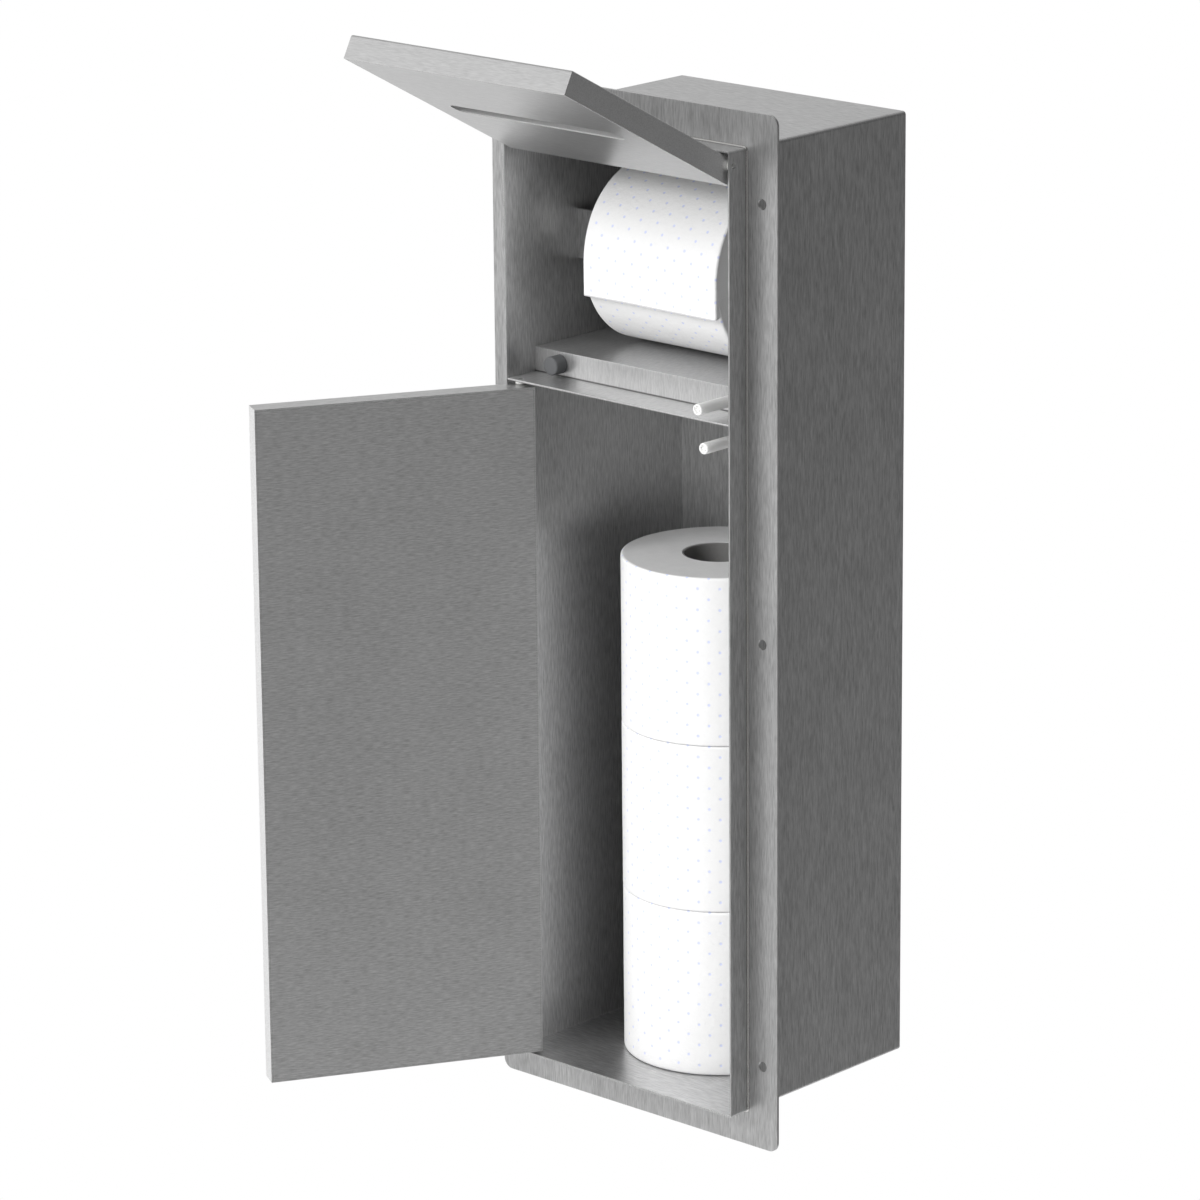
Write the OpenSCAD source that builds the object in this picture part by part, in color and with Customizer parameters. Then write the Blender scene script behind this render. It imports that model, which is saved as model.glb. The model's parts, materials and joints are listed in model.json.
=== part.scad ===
// Recessed cabinet for toilet rolls, folded from brushed sheet steel.
// A top-hung flap covers the roll in use and a tall side-hung door covers the spare rolls.
// Seen from the room, +X is to the right, +Y goes into the wall and +Z is up.
// The origin is the centre of the six fixing holes, on the back face of the flange.

/* [Housing] */
// Outer width of the housing and its collar
housing_w = 170; // [160:1:240]
// Outer height of the housing and its collar
housing_h = 560; // [500:1:720]
// Depth of the housing behind the wall plane
recess_depth = 134; // [132:1:180]
// How far the collar stands out of the wall plane
collar_reach = 16; // [15:0.5:24]
// Thickness of the housing's sheet
sheet_t = 1.2; // [0.8:0.1:1.8]
// Outer radius of the housing's folded corners
fold_r = 2; // [1.9:0.1:4]

/* [Flange] */
// Width of the flange beside the housing
flange_side = 22; // [18:1:40]
// Width of the flange above and below the housing
flange_end = 20; // [10:1:40]
// Thickness of the flange
flange_t = 1.5; // [1:0.1:3]
// Radius of the flange's corners
flange_corner_r = 6; // [2:0.5:12]
// Width of the weld bead between the flange and the collar
weld_w = 1; // [0.5:0.1:2]

/* [Fixing holes] */
// Diameter of the fixing holes
hole_d = 6; // [4:0.5:8]
// Distance from a side edge of the flange to the hole centres
hole_inset = 11; // [7:0.5:12]
// Height from the middle pair of holes to the pair above or below
hole_rise = 250; // [180:5:280]

/* [Divider] */
// Clear height of the upper room, from the ledge to the ceiling
upper_room_h = 151.8; // [148:0.2:170]
// Depth of the ledge between flap and door
ledge_depth = 23.1; // [18:0.1:32]
// How far the ledge lies behind the collar's front edge
ledge_set = 0.2; // [0:0.1:2]
// Height of the upstand, from the ledge to the shelf
upstand_h = 14.3; // [14:0.1:20]
// Thickness of the divider's sheet
divider_t = 1.2; // [0.8:0.1:1.6]

/* [Door and flap] */
// Thickness of the door and of the flap
lid_t = 14; // [11:0.5:15]
// Thickness of their sheet
lid_sheet = 1; // [0.6:0.1:1.4]
// Radius of their folded front edges
lid_r = 1.2; // [0.4:0.1:2]
// Gap round the door and the flap
lid_gap = 1.8; // [1.2:0.1:2.2]
// Diameter of the pivot pins
pivot_d = 3; // [2:0.1:4]
// Distance from a front face to the pivot axis behind it
pivot_set = 3.6; // [3.2:0.1:3.8]
// Distance from the housing's wall to the pivot axis beside it
pivot_in = 7.2; // [6.9:0.1:9]
// Edge length of the pivot blocks inside door and flap
block_l = 12; // [11:0.5:16]
// Width of the stiffener inside the door
stiffener_w = 16; // [8:1:40]
// Angle at which the door is drawn, from closed
door_open = 120; // [0:1:120]
// Angle at which the flap is drawn, from closed
flap_open = 118; // [0:1:118]
// Length of the viewing slot in the flap
slot_w = 126; // [80:1:130]
// Height of the viewing slot
slot_h = 12.5; // [8:0.5:20]
// Wall of the sleeve that lines the viewing slot
sleeve_t = 1; // [0.6:0.1:2]

/* [Bumper] */
// Diameter of the rubber bumper
bumper_d = 11; // [8:0.5:12]
// Distance from the left wall to the bumper's centre
bumper_in = 20; // [14:0.5:40]
// Diameter of the bumper's stem
bumper_stem_d = 5; // [3:0.5:6]
// Distance from the bumper to the closed flap
bumper_clear = 0.3; // [0.2:0.1:1]

/* [Push latches] */
// Distance from the right wall to the plungers' axis
latch_in = 16.8; // [14:0.2:24]
// Width of a latch body
latch_w = 14; // [10:0.5:16]
// Height of a latch body
latch_h = 12; // [10:0.5:12]
// Length of a latch body in front of its lug
latch_l = 52; // [50:1:60]
// Length of the screw lug at the back of a latch body
latch_lug_l = 9; // [7:0.5:14]
// Thickness of a latch body's end wall
latch_end = 2; // [1:0.5:4]
// Diameter of the nose that seats in the sheet
latch_nose_d = 9; // [8:0.5:10]
// Diameter of a plunger
plunger_d = 6.5; // [5:0.1:6.8]
// Length of a plunger
plunger_l = 50; // [46:1:52]
// How far a plunger stands out of its body when the lid is open
plunger_out = 31.5; // [28:0.5:34]
// Drop from the ledge's underside to the lower plunger's axis
latch_drop = 14.8; // [12:0.2:24]
// How much deeper than the upper latch the lower one is set
latch_set = 5; // [2:0.5:10]
// Diameter of the latch screws
latch_screw_d = 3; // [2:0.5:4]

/* [Roll holder] */
// Distance from the wall plane to the spindle's axis
spindle_in = 65; // [62:1:76]
// Height of the spindle's axis above the shelf
spindle_up = 60; // [60:1:72]
// Width of a holder bracket
holder_w = 42; // [32:1:60]
// Height of a holder bracket
holder_h = 29; // [20:1:40]
// How far a holder bracket stands off its wall
holder_stand = 18; // [10:0.5:24]
// Thickness of a holder bracket
holder_t = 1.5; // [1:0.1:2.5]
// Diameter of the spindle
spindle_d = 28.4; // [27:0.2:34]
// Wall of the spindle's tubes
spindle_wall = 1.4; // [1:0.1:2.5]
// Diameter of the spindle's journals
journal_d = 8; // [6:0.5:12]
// How far a journal stands out past its bracket
journal_out = 3; // [1:0.5:6]
// Length of the spring between the two halves of the spindle
spindle_spring_l = 36; // [24:1:44]
// How far the two halves of the spindle overlap
spindle_lap = 30; // [16:1:44]

/* [Rolls] */
// Length of a roll
roll_l = 100; // [90:1:104]
// Diameter of the roll in use
roll_d = 106; // [70:1:106]
// Diameter of a spare roll
spare_d = 114; // [90:1:116]
// Outer diameter of a cardboard core
core_d = 43; // [40:0.5:43.5]
// Thickness of a cardboard core
core_t = 1.2; // [0.9:0.1:2]
// Distance from the back panel to the spare rolls
spare_set = 4.8; // [2:0.2:8]
// Thickness of the loose sheet at the end of the roll in use
tail_t = 0.5; // [0.2:0.1:0.6]

/* [Hidden] */
$fn = 64;

// Radial clearance of a shaft that turns or slides in its hole
run_fit = 0.05;
// Clearance of a roll over the spindle, and of the spindle's shoulder
seat_gap = 0.3;
// Clearance between a pivot washer and the door or flap beside it
washer_gap = 0.2;
// Overrun of a cut past the surface it opens
cut = 1;
// Diameter of the pivot washers
washer_d = 6;
// Chamfer on the ends of pins, plungers and journals
chamfer = 0.4;
// Diameter and depth of the dimple in a plunger's tip
dimple_d = 3.2;
dimple_t = 0.4;
// Diameter and thickness of the barb behind the bumper
barb_d = 7;
barb_t = 1.5;
// Diameter and thickness of a latch screw's head
screw_head_d = 5.5;
screw_head_t = 1.6;
// Length of a latch screw's shank
screw_l = 7;
// Width of the latch bracket's tab on the wall
bracket_tab_h = 22;
// Length of a pivot pin inside its block
pin_grip = 9;
// How far the door's stiffener ends from the door's ends
stiffener_end = 18;
// Wire and mean diameter of a latch spring
latch_wire = 0.7;
latch_coil_d = 4.8;
// Wire and mean diameter of the spindle's spring
spindle_wire = 1.2;
spindle_coil_d = 18;
// Turns of the springs, and their rings and sides a turn
latch_turns = 10;
spindle_turns = 8;
coil_rings = 10;
coil_sides = 6;
// Drop of the loose sheet's edge below the roll's axis, as a share of the roll's radius
tail_drop_share = 0.38;
// Angles of the door and the flap at their stops
door_stop = 120;
flap_stop = 118;

// Inner faces of the housing
in_w = housing_w / 2 - sheet_t;
in_h = housing_h / 2 - sheet_t;
in_r = fold_r - sheet_t;
back_y = recess_depth - sheet_t;
front_y = -collar_reach;

// Levels of the divider
ledge_top = in_h - upper_room_h;
ledge_low = ledge_top - divider_t;
shelf_top = ledge_top + upstand_h;
shelf_low = shelf_top - divider_t;
ledge_y = front_y + ledge_set;
upstand_y = ledge_y + ledge_depth;
behind_upstand = upstand_y + divider_t;

// Door and flap when closed
lid_x = in_w - lid_gap;
lid_y = front_y + lid_t;
door_low = lid_gap - in_h;
door_high = ledge_low - lid_gap;
flap_low = ledge_top + lid_gap;
flap_high = in_h - lid_gap;
pivot_y = front_y + pivot_set;
door_x = pivot_in - in_w;
flap_z = in_h - pivot_in;
slot_z = (flap_low + flap_high) / 2;
washer_t = lid_gap - washer_gap;

// Bumper
bumper_x = bumper_in - in_w;
bumper_z = ledge_top + upstand_h / 2;
bumper_y = lid_y + bumper_clear;

// Latches: place of each body's front face, axis height and travel
latch_x = in_w - latch_in;
upper_latch_y = behind_upstand;
lower_latch_y = behind_upstand + latch_set;
upper_latch_z = shelf_low - latch_h / 2;
lower_latch_z = ledge_low - latch_drop;
bracket_low = lower_latch_z + latch_h / 2;
upper_travel = lid_y + bumper_clear - upper_latch_y + plunger_out;
lower_travel = lid_y + bumper_clear - lower_latch_y + plunger_out;
upper_pushed = upper_travel * (1 - flap_open / flap_stop);
lower_pushed = lower_travel * (1 - door_open / door_stop);

// Holder, spindle and roll
web_x = in_w - holder_stand;
spindle_z = shelf_top + spindle_up;
spindle_inner_d = spindle_d - 2 * spindle_wall;
plug_x = web_x - seat_gap;
spindle_tail_x = spindle_wall - web_x + spindle_spring_l;
core_inner_d = core_d - 2 * core_t;
roll_sag = (core_inner_d - spindle_d) / 2 - seat_gap;
roll_z = spindle_z - roll_sag;
spare_y = back_y - spare_set - spare_d / 2;
floor_z = -in_h;

// Box between two corners
module block(low, high) {
    translate(low) cube(high - low);
}

// Plate with rounded corners, width w and height h, from y0 to y1
module plate_y(w, h, r, y0, y1) {
    translate([0, y1, 0]) rotate([90, 0, 0]) linear_extrude(y1 - y0) {
        square([w - 2 * r, h], center = true);
        square([w, h - 2 * r], center = true);
        for (sx = [-1, 1], sz = [-1, 1])
            translate([sx * (w / 2 - r), sz * (h / 2 - r)]) circle(r);
    }
}

// Round bar of diameter d along X, Y or Z between two places on its axis
module bar_x(d, x0, x1) {
    translate([x0, 0, 0]) rotate([0, 90, 0]) cylinder(d = d, h = x1 - x0);
}
module bar_y(d, y0, y1) {
    translate([0, y1, 0]) rotate([90, 0, 0]) cylinder(d = d, h = y1 - y0);
}
module bar_z(d, z0, z1) {
    translate([0, 0, z0]) cylinder(d = d, h = z1 - z0);
}

// Pin of diameter d and length l along +Z, chamfered at its far end
module pin(d, l) {
    cylinder(d = d, h = l - chamfer);
    translate([0, 0, l - chamfer]) cylinder(d1 = d, d2 = d - 2 * chamfer, h = chamfer);
}

// Ring along Z from z0 to z1
module ring_z(d_out, d_in, z0, z1) {
    difference() {
        bar_z(d_out, z0, z1);
        bar_z(d_in, z0 - cut, z1 + cut);
    }
}

// Profile whose two corners at y0 are rounded, from a0 to a1 in its first direction
module lid_profile(a0, a1, y0, y1, r) {
    translate([a0 + r, y0]) square([a1 - a0 - 2 * r, y1 - y0]);
    translate([a0, y0 + r]) square([a1 - a0, y1 - y0 - r]);
    translate([a0 + r, y0 + r]) circle(r);
    translate([a1 - r, y0 + r]) circle(r);
}

// Pan of a door or flap: a front sheet with four returns, open at the back
module lid_pan(z0, z1) {
    difference() {
        intersection() {
            translate([0, 0, z0]) linear_extrude(z1 - z0)
                lid_profile(-lid_x, lid_x, front_y, lid_y, lid_r);
            translate([-lid_x, 0, 0]) rotate([90, 0, 90]) linear_extrude(2 * lid_x)
                mirror([1, -1]) lid_profile(z0, z1, front_y, lid_y, lid_r);
        }
        block([lid_sheet - lid_x, front_y + lid_sheet, z0 + lid_sheet],
              [lid_x - lid_sheet, lid_y + cut, z1 - lid_sheet]);
    }
}

// Flat sheet that closes the back of a pan
module lid_liner(z0, z1) {
    block([lid_sheet - lid_x, lid_y - lid_sheet, z0 + lid_sheet],
          [lid_x - lid_sheet, lid_y, z1 - lid_sheet]);
}

// Long hole with round ends in the flap, widened all round by grow
module slot_hole(grow, y0, y1) {
    r = slot_h / 2 + grow;
    run = slot_w / 2 - slot_h / 2;
    translate([0, 0, slot_z]) {
        block([-run, y0, -r], [run, y1, r]);
        for (sx = [-1, 1]) translate([sx * run, 0, 0]) bar_y(2 * r, y0, y1);
    }
}

// Turns its children from the closed door to the drawn one
module door_pose() {
    translate([door_x, pivot_y, 0]) rotate([0, 0, -door_open])
        translate([-door_x, -pivot_y, 0]) children();
}

// Turns its children from the closed flap to the drawn one
module flap_pose() {
    translate([0, pivot_y, flap_z]) rotate([-flap_open, 0, 0])
        translate([0, -pivot_y, -flap_z]) children();
}

// One corner of a spring's wire: ring i and side j of a coil along +Z
function coil_corner(d, wire, l, turns, i, j) =
    let (
        turn = 360 * i / coil_rings,
        side = 360 * j / coil_sides,
        reach = d / 2 + wire / 2 * cos(side),
        rise = wire / 2 + (l - wire) * i / (turns * coil_rings)
    )
    [reach * cos(turn), reach * sin(turn), rise + wire / 2 * sin(side)];

// Spring along +Z that fills the length l between its two seats
module coil(d, wire, l, turns) {
    last = turns * coil_rings;
    polyhedron(
        points = [for (i = [0 : last], j = [0 : coil_sides - 1])
            coil_corner(d, wire, l, turns, i, j)],
        faces = concat(
            [[for (j = [0 : coil_sides - 1]) j]],
            [for (i = [0 : last - 1], j = [0 : coil_sides - 1])
                let (
                    a = i * coil_sides + j,
                    b = i * coil_sides + (j + 1) % coil_sides
                )
                [a, a + coil_sides, b + coil_sides]],
            [for (i = [0 : last - 1], j = [0 : coil_sides - 1])
                let (
                    a = i * coil_sides + j,
                    b = i * coil_sides + (j + 1) % coil_sides
                )
                [a, b + coil_sides, b]],
            [[for (j = [coil_sides - 1 : -1 : 0]) last * coil_sides + j]]
        )
    );
}

// Four walls of the housing in one folded sheet, open at the front and the back
module housing_wrap() {
    color("silver") difference() {
        plate_y(housing_w, housing_h, fold_r, front_y, recess_depth);
        plate_y(2 * in_w, 2 * in_h, in_r, front_y - cut, recess_depth + cut);
        translate([0, pivot_y, flap_z])
            bar_x(pivot_d + 2 * run_fit, -in_w - sheet_t - cut, in_w + sheet_t + cut);
        translate([door_x, pivot_y, 0])
            bar_z(pivot_d + 2 * run_fit, floor_z - sheet_t - cut, floor_z + cut);
    }
}

// Panel that closes the housing's back
module back_panel() {
    color("silver") plate_y(2 * in_w, 2 * in_h, in_r, back_y, recess_depth);
}

// Flange that covers the edge of the wall's recess, with its six fixing holes
module flange_plate() {
    w = housing_w + 2 * flange_side;
    h = housing_h + 2 * flange_end;
    color("silver") difference() {
        plate_y(w, h, flange_corner_r, -flange_t, 0);
        plate_y(housing_w, housing_h, fold_r, -flange_t - cut, cut);
        for (sx = [-1, 1], iz = [-1, 0, 1])
            translate([sx * (w / 2 - hole_inset), 0, iz * hole_rise])
                bar_y(hole_d, -flange_t - cut, cut);
    }
}

// Weld bead where the collar leaves the flange
module flange_weld() {
    wide = 2 * weld_w;
    color("gainsboro") difference() {
        hull() {
            plate_y(housing_w + wide, housing_h + wide, fold_r + weld_w,
                    -flange_t - weld_w / 4, -flange_t);
            plate_y(housing_w + weld_w / 2, housing_h + weld_w / 2, fold_r + weld_w / 4,
                    -flange_t - weld_w, -flange_t);
        }
        plate_y(housing_w, housing_h, fold_r, -flange_t - weld_w - cut, cut);
    }
}

// Ledge, upstand and shelf in one folded sheet
module divider_shelf() {
    color("silver") difference() {
        union() {
            block([-in_w, ledge_y, ledge_low], [in_w, behind_upstand, ledge_top]);
            block([-in_w, upstand_y, ledge_low], [in_w, behind_upstand, shelf_top]);
            block([-in_w, upstand_y, shelf_low], [in_w, back_y, shelf_top]);
        }
        translate([latch_x, 0, upper_latch_z])
            bar_y(latch_nose_d, upstand_y - cut, behind_upstand + cut);
        translate([bumper_x, 0, bumper_z])
            bar_y(bumper_stem_d, upstand_y - cut, behind_upstand + cut);
        translate([door_x, pivot_y, 0])
            bar_z(pivot_d + 2 * run_fit, ledge_low - cut, ledge_top + cut);
        translate([latch_x, upper_latch_y + latch_l + latch_lug_l / 2, 0])
            bar_z(latch_screw_d + 2 * run_fit, shelf_low - cut, shelf_top + cut);
    }
}

// Rubber bumper that the closed flap rests on, held by its stem and barb
module bumper() {
    color("dimgray") translate([bumper_x, 0, bumper_z]) {
        translate([0, upstand_y, 0]) rotate([90, 0, 0]) pin(bumper_d, upstand_y - bumper_y);
        bar_y(bumper_stem_d, upstand_y, behind_upstand + barb_t);
        bar_y(barb_d, behind_upstand, behind_upstand + barb_t);
    }
}

// Channel bracket on the right wall that carries one end of the spindle
module holder() {
    translate([0, spindle_in, spindle_z]) difference() {
        block([web_x, -holder_w / 2, -holder_h / 2], [in_w, holder_w / 2, holder_h / 2]);
        block([web_x + holder_t, holder_t - holder_w / 2, -holder_h / 2 - cut],
              [in_w + cut, holder_w / 2 - holder_t, holder_h / 2 + cut]);
        bar_x(journal_d + 2 * run_fit, web_x - cut, web_x + holder_t + cut);
    }
}
module holder_right() {
    color("silver") holder();
}
module holder_left() {
    color("silver") mirror([1, 0, 0]) holder();
}

// Outer half of the spindle, with the left journal
module spindle_tube() {
    mouth_x = spindle_tail_x + spindle_lap;
    color("whitesmoke") translate([0, spindle_in, spindle_z]) {
        difference() {
            bar_x(spindle_d, -web_x, mouth_x);
            bar_x(spindle_inner_d, spindle_wall - web_x, mouth_x + cut);
        }
        translate([-web_x, 0, 0]) rotate([0, -90, 0])
            pin(journal_d, holder_t + journal_out);
    }
}

// Inner half of the spindle, which slides into the outer one against a spring
module spindle_end() {
    d = spindle_inner_d - 2 * run_fit;
    color("whitesmoke") translate([0, spindle_in, spindle_z]) {
        difference() {
            bar_x(d, spindle_tail_x, plug_x);
            bar_x(d - 2 * spindle_wall, spindle_tail_x + spindle_wall,
                  plug_x - spindle_wall);
        }
        translate([plug_x, 0, 0]) rotate([0, 90, 0])
            pin(journal_d, seat_gap + holder_t + journal_out);
    }
}

// Spring that pushes the two halves of the spindle apart
module spindle_spring() {
    color("darkgray") translate([spindle_wall - web_x, spindle_in, spindle_z])
        rotate([0, 90, 0])
            coil(spindle_coil_d, spindle_wire, spindle_spring_l, spindle_turns);
}

// Body of a push latch with its front face at y and its axis at z
module latch_body(y, z) {
    middle = y + latch_l + latch_lug_l / 2;
    color("lightgray") difference() {
        union() {
            block([latch_x - latch_w / 2, y, z - latch_h / 2],
                  [latch_x + latch_w / 2, y + latch_l, z + latch_h / 2]);
            block([latch_x - latch_w / 2, y + latch_l, z],
                  [latch_x + latch_w / 2, y + latch_l + latch_lug_l, z + latch_h / 2]);
            translate([latch_x, 0, z]) bar_y(latch_nose_d, y - divider_t, y);
        }
        translate([latch_x, 0, z])
            bar_y(plunger_d + 2 * run_fit, y - divider_t - cut, y + latch_l - latch_end);
        translate([latch_x, middle, 0]) bar_z(latch_screw_d, z - cut, z + latch_h / 2 + cut);
    }
}

// Plunger of a push latch, pushed in by a given length
module plunger(y, z, pushed) {
    tip_y = y - plunger_out + pushed;
    color("white") translate([latch_x, tip_y + plunger_l, z]) rotate([90, 0, 0])
        difference() {
            pin(plunger_d, plunger_l);
            translate([0, 0, plunger_l - dimple_t]) cylinder(d = dimple_d, h = dimple_t + cut);
        }
}

// Spring behind a plunger
module latch_spring(y, z, pushed) {
    seat_y = y - plunger_out + pushed + plunger_l;
    color("darkgray") translate([latch_x, y + latch_l - latch_end, z]) rotate([90, 0, 0])
        coil(latch_coil_d, latch_wire, y + latch_l - latch_end - seat_y, latch_turns);
}

// Screw through the sheet into a latch body's lug, with its head at z
module latch_screw(y, z) {
    color("darkgray") translate([latch_x, y + latch_l + latch_lug_l / 2, z]) {
        bar_z(screw_head_d, 0, screw_head_t);
        bar_z(latch_screw_d, -screw_l, 0);
    }
}

module upper_latch_body() {
    latch_body(upper_latch_y, upper_latch_z);
}
module lower_latch_body() {
    latch_body(lower_latch_y, lower_latch_z);
}
module upper_plunger() {
    plunger(upper_latch_y, upper_latch_z, upper_pushed);
}
module lower_plunger() {
    plunger(lower_latch_y, lower_latch_z, lower_pushed);
}
module upper_latch_spring() {
    latch_spring(upper_latch_y, upper_latch_z, upper_pushed);
}
module lower_latch_spring() {
    latch_spring(lower_latch_y, lower_latch_z, lower_pushed);
}
module upper_latch_screw() {
    latch_screw(upper_latch_y, shelf_top);
}
module lower_latch_screw() {
    latch_screw(lower_latch_y, bracket_low + divider_t);
}

// Bracket on the right wall that carries the lower latch
module latch_bracket() {
    y0 = lower_latch_y - divider_t;
    y1 = lower_latch_y + latch_l + latch_lug_l;
    high = bracket_low + divider_t;
    color("silver") difference() {
        union() {
            block([latch_x - latch_w / 2, y0, bracket_low], [in_w, y1, high]);
            block([latch_x - latch_w / 2, y0, lower_latch_z - latch_h / 2],
                  [latch_x + latch_w / 2, lower_latch_y, high]);
            block([in_w - divider_t, y0, high - bracket_tab_h], [in_w, y1, high]);
        }
        translate([latch_x, 0, lower_latch_z])
            bar_y(latch_nose_d, y0 - cut, lower_latch_y + cut);
        translate([latch_x, lower_latch_y + latch_l + latch_lug_l / 2, 0])
            bar_z(latch_screw_d + 2 * run_fit, bracket_low - cut, high + cut);
    }
}

// Washer on a flap pin, between the flap and the right wall
module flap_washer() {
    translate([in_w - washer_t, pivot_y, flap_z]) rotate([0, 90, 0])
        ring_z(washer_d, pivot_d + 2 * run_fit, 0, washer_t);
}
module flap_washer_right() {
    color("gray") flap_washer();
}
module flap_washer_left() {
    color("gray") mirror([1, 0, 0]) flap_washer();
}

// Washers on the door pins, below the ledge and on the floor
module door_washer_top() {
    color("gray") translate([door_x, pivot_y, 0])
        ring_z(washer_d, pivot_d + 2 * run_fit, ledge_low - washer_t, ledge_low);
}
module door_washer_bottom() {
    color("gray") translate([door_x, pivot_y, 0])
        ring_z(washer_d, pivot_d + 2 * run_fit, floor_z, floor_z + washer_t);
}

// Flap: pan with the viewing slot and holes for its pins
module flap_pan() {
    color("silver") flap_pose() difference() {
        lid_pan(flap_low, flap_high);
        slot_hole(0, front_y - cut, front_y + lid_sheet + cut);
        translate([0, pivot_y, flap_z]) bar_x(pivot_d, -lid_x - cut, lid_x + cut);
    }
}
module flap_liner() {
    color("silver") flap_pose() difference() {
        lid_liner(flap_low, flap_high);
        slot_hole(0, lid_y - lid_sheet - cut, lid_y + cut);
    }
}

// Sleeve that lines the viewing slot between the two sheets
module flap_sleeve() {
    color("silver") flap_pose() difference() {
        slot_hole(sleeve_t, front_y + lid_sheet, lid_y - lid_sheet);
        slot_hole(0, front_y, lid_y);
    }
}

// Block in the flap's upper right corner that holds a pivot pin
module flap_block() {
    x1 = lid_x - lid_sheet;
    z1 = flap_high - lid_sheet;
    difference() {
        block([x1 - block_l, front_y + lid_sheet, z1 - block_l], [x1, lid_y - lid_sheet, z1]);
        translate([0, pivot_y, flap_z]) bar_x(pivot_d, x1 - pin_grip, x1 + cut);
    }
}
module flap_block_right() {
    color("dimgray") flap_pose() flap_block();
}
module flap_block_left() {
    color("dimgray") flap_pose() mirror([1, 0, 0]) flap_block();
}

// Pivot pin of the flap, from its block out to the housing's outer face
module flap_pin() {
    x0 = lid_x - lid_sheet - pin_grip;
    translate([x0, pivot_y, flap_z]) rotate([0, 90, 0]) pin(pivot_d, in_w + sheet_t - x0);
}
module flap_pin_right() {
    color("lightgray") flap_pose() flap_pin();
}
module flap_pin_left() {
    color("lightgray") flap_pose() mirror([1, 0, 0]) flap_pin();
}

// Door: pan with holes for its pins, and the liner that closes it
module door_pan() {
    color("silver") door_pose() difference() {
        lid_pan(door_low, door_high);
        translate([door_x, pivot_y, 0]) bar_z(pivot_d, door_low - cut, door_high + cut);
    }
}
module door_liner() {
    color("silver") door_pose() lid_liner(door_low, door_high);
}

// Channel that joins the door's two sheets along its middle
module door_stiffener() {
    y0 = front_y + lid_sheet;
    y1 = lid_y - lid_sheet;
    color("silver") door_pose() difference() {
        block([-stiffener_w / 2, y0, door_low + stiffener_end],
              [stiffener_w / 2, y1, door_high - stiffener_end]);
        block([lid_sheet - stiffener_w / 2, y0 + lid_sheet, door_low],
              [stiffener_w / 2 + cut, y1 - lid_sheet, door_high]);
    }
}

// Block in a corner of the door that holds a pivot pin, from z0 to z1
module door_block(z0, z1) {
    x0 = lid_sheet - lid_x;
    block([x0, front_y + lid_sheet, z0], [x0 + block_l, lid_y - lid_sheet, z1]);
}
module door_block_top() {
    z1 = door_high - lid_sheet;
    color("dimgray") door_pose() difference() {
        door_block(z1 - block_l, z1);
        translate([door_x, pivot_y, 0]) bar_z(pivot_d, z1 - pin_grip, z1 + cut);
    }
}
module door_block_bottom() {
    z0 = door_low + lid_sheet;
    color("dimgray") door_pose() difference() {
        door_block(z0, z0 + block_l);
        translate([door_x, pivot_y, 0]) bar_z(pivot_d, z0 - cut, z0 + pin_grip);
    }
}

// Pivot pins of the door, up into the ledge and down through the floor
module door_pin_top() {
    z0 = door_high - lid_sheet - pin_grip;
    color("lightgray") door_pose() translate([door_x, pivot_y, z0])
        pin(pivot_d, ledge_top - z0);
}
module door_pin_bottom() {
    z1 = door_low + lid_sheet + pin_grip;
    color("lightgray") door_pose() translate([door_x, pivot_y, z1]) mirror([0, 0, 1])
        pin(pivot_d, z1 - floor_z + sheet_t);
}

// Roll in use, with its bore along X and the loose last sheet over its front
module toilet_roll() {
    color("white") translate([0, spindle_in, roll_z]) difference() {
        union() {
            bar_x(roll_d, -roll_l / 2, roll_l / 2);
            intersection() {
                bar_x(roll_d + 2 * tail_t, -roll_l / 2, roll_l / 2);
                block([-roll_l / 2, -roll_d, -roll_d / 2 * tail_drop_share],
                      [roll_l / 2, 0, roll_d]);
            }
        }
        bar_x(core_d, -roll_l / 2 - cut, roll_l / 2 + cut);
    }
}
module roll_core() {
    color("tan") translate([0, spindle_in, roll_z]) difference() {
        bar_x(core_d, -roll_l / 2, roll_l / 2);
        bar_x(core_inner_d, -roll_l / 2 - cut, roll_l / 2 + cut);
    }
}

// Spare rolls and their cores, stacked on the floor; place 0 is the lowest
module spare_roll(place) {
    z0 = floor_z + place * roll_l;
    color("white") translate([0, spare_y, 0]) ring_z(spare_d, core_d, z0, z0 + roll_l);
}
module spare_core(place) {
    z0 = floor_z + place * roll_l;
    color("tan") translate([0, spare_y, 0]) ring_z(core_d, core_inner_d, z0, z0 + roll_l);
}
module spare_roll_low() {
    spare_roll(0);
}
module spare_roll_middle() {
    spare_roll(1);
}
module spare_roll_high() {
    spare_roll(2);
}
module spare_core_low() {
    spare_core(0);
}
module spare_core_middle() {
    spare_core(1);
}
module spare_core_high() {
    spare_core(2);
}

housing_wrap();
back_panel();
flange_plate();
flange_weld();
divider_shelf();
bumper();
holder_left();
holder_right();
spindle_tube();
spindle_spring();
spindle_end();
latch_bracket();
upper_latch_body();
lower_latch_body();
upper_latch_spring();
lower_latch_spring();
upper_latch_screw();
lower_latch_screw();
upper_plunger();
lower_plunger();
flap_washer_left();
flap_washer_right();
door_washer_top();
door_washer_bottom();
flap_pan();
flap_liner();
flap_sleeve();
flap_block_left();
flap_block_right();
flap_pin_left();
flap_pin_right();
door_pan();
door_liner();
door_stiffener();
door_block_top();
door_block_bottom();
door_pin_top();
door_pin_bottom();
toilet_roll();
roll_core();
spare_roll_low();
spare_roll_middle();
spare_roll_high();
spare_core_low();
spare_core_middle();
spare_core_high();
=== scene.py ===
"""Looks of a recessed wall cabinet for toilet rolls.

A brushed steel housing with a flange, a flap and a door, two push latches, a roll on its
spindle and three spare rolls. Sizes are millimetres in the classes and metres in the meshes.
The origin is the centre of the six fixing holes on the flange's back face.
"""

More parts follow.
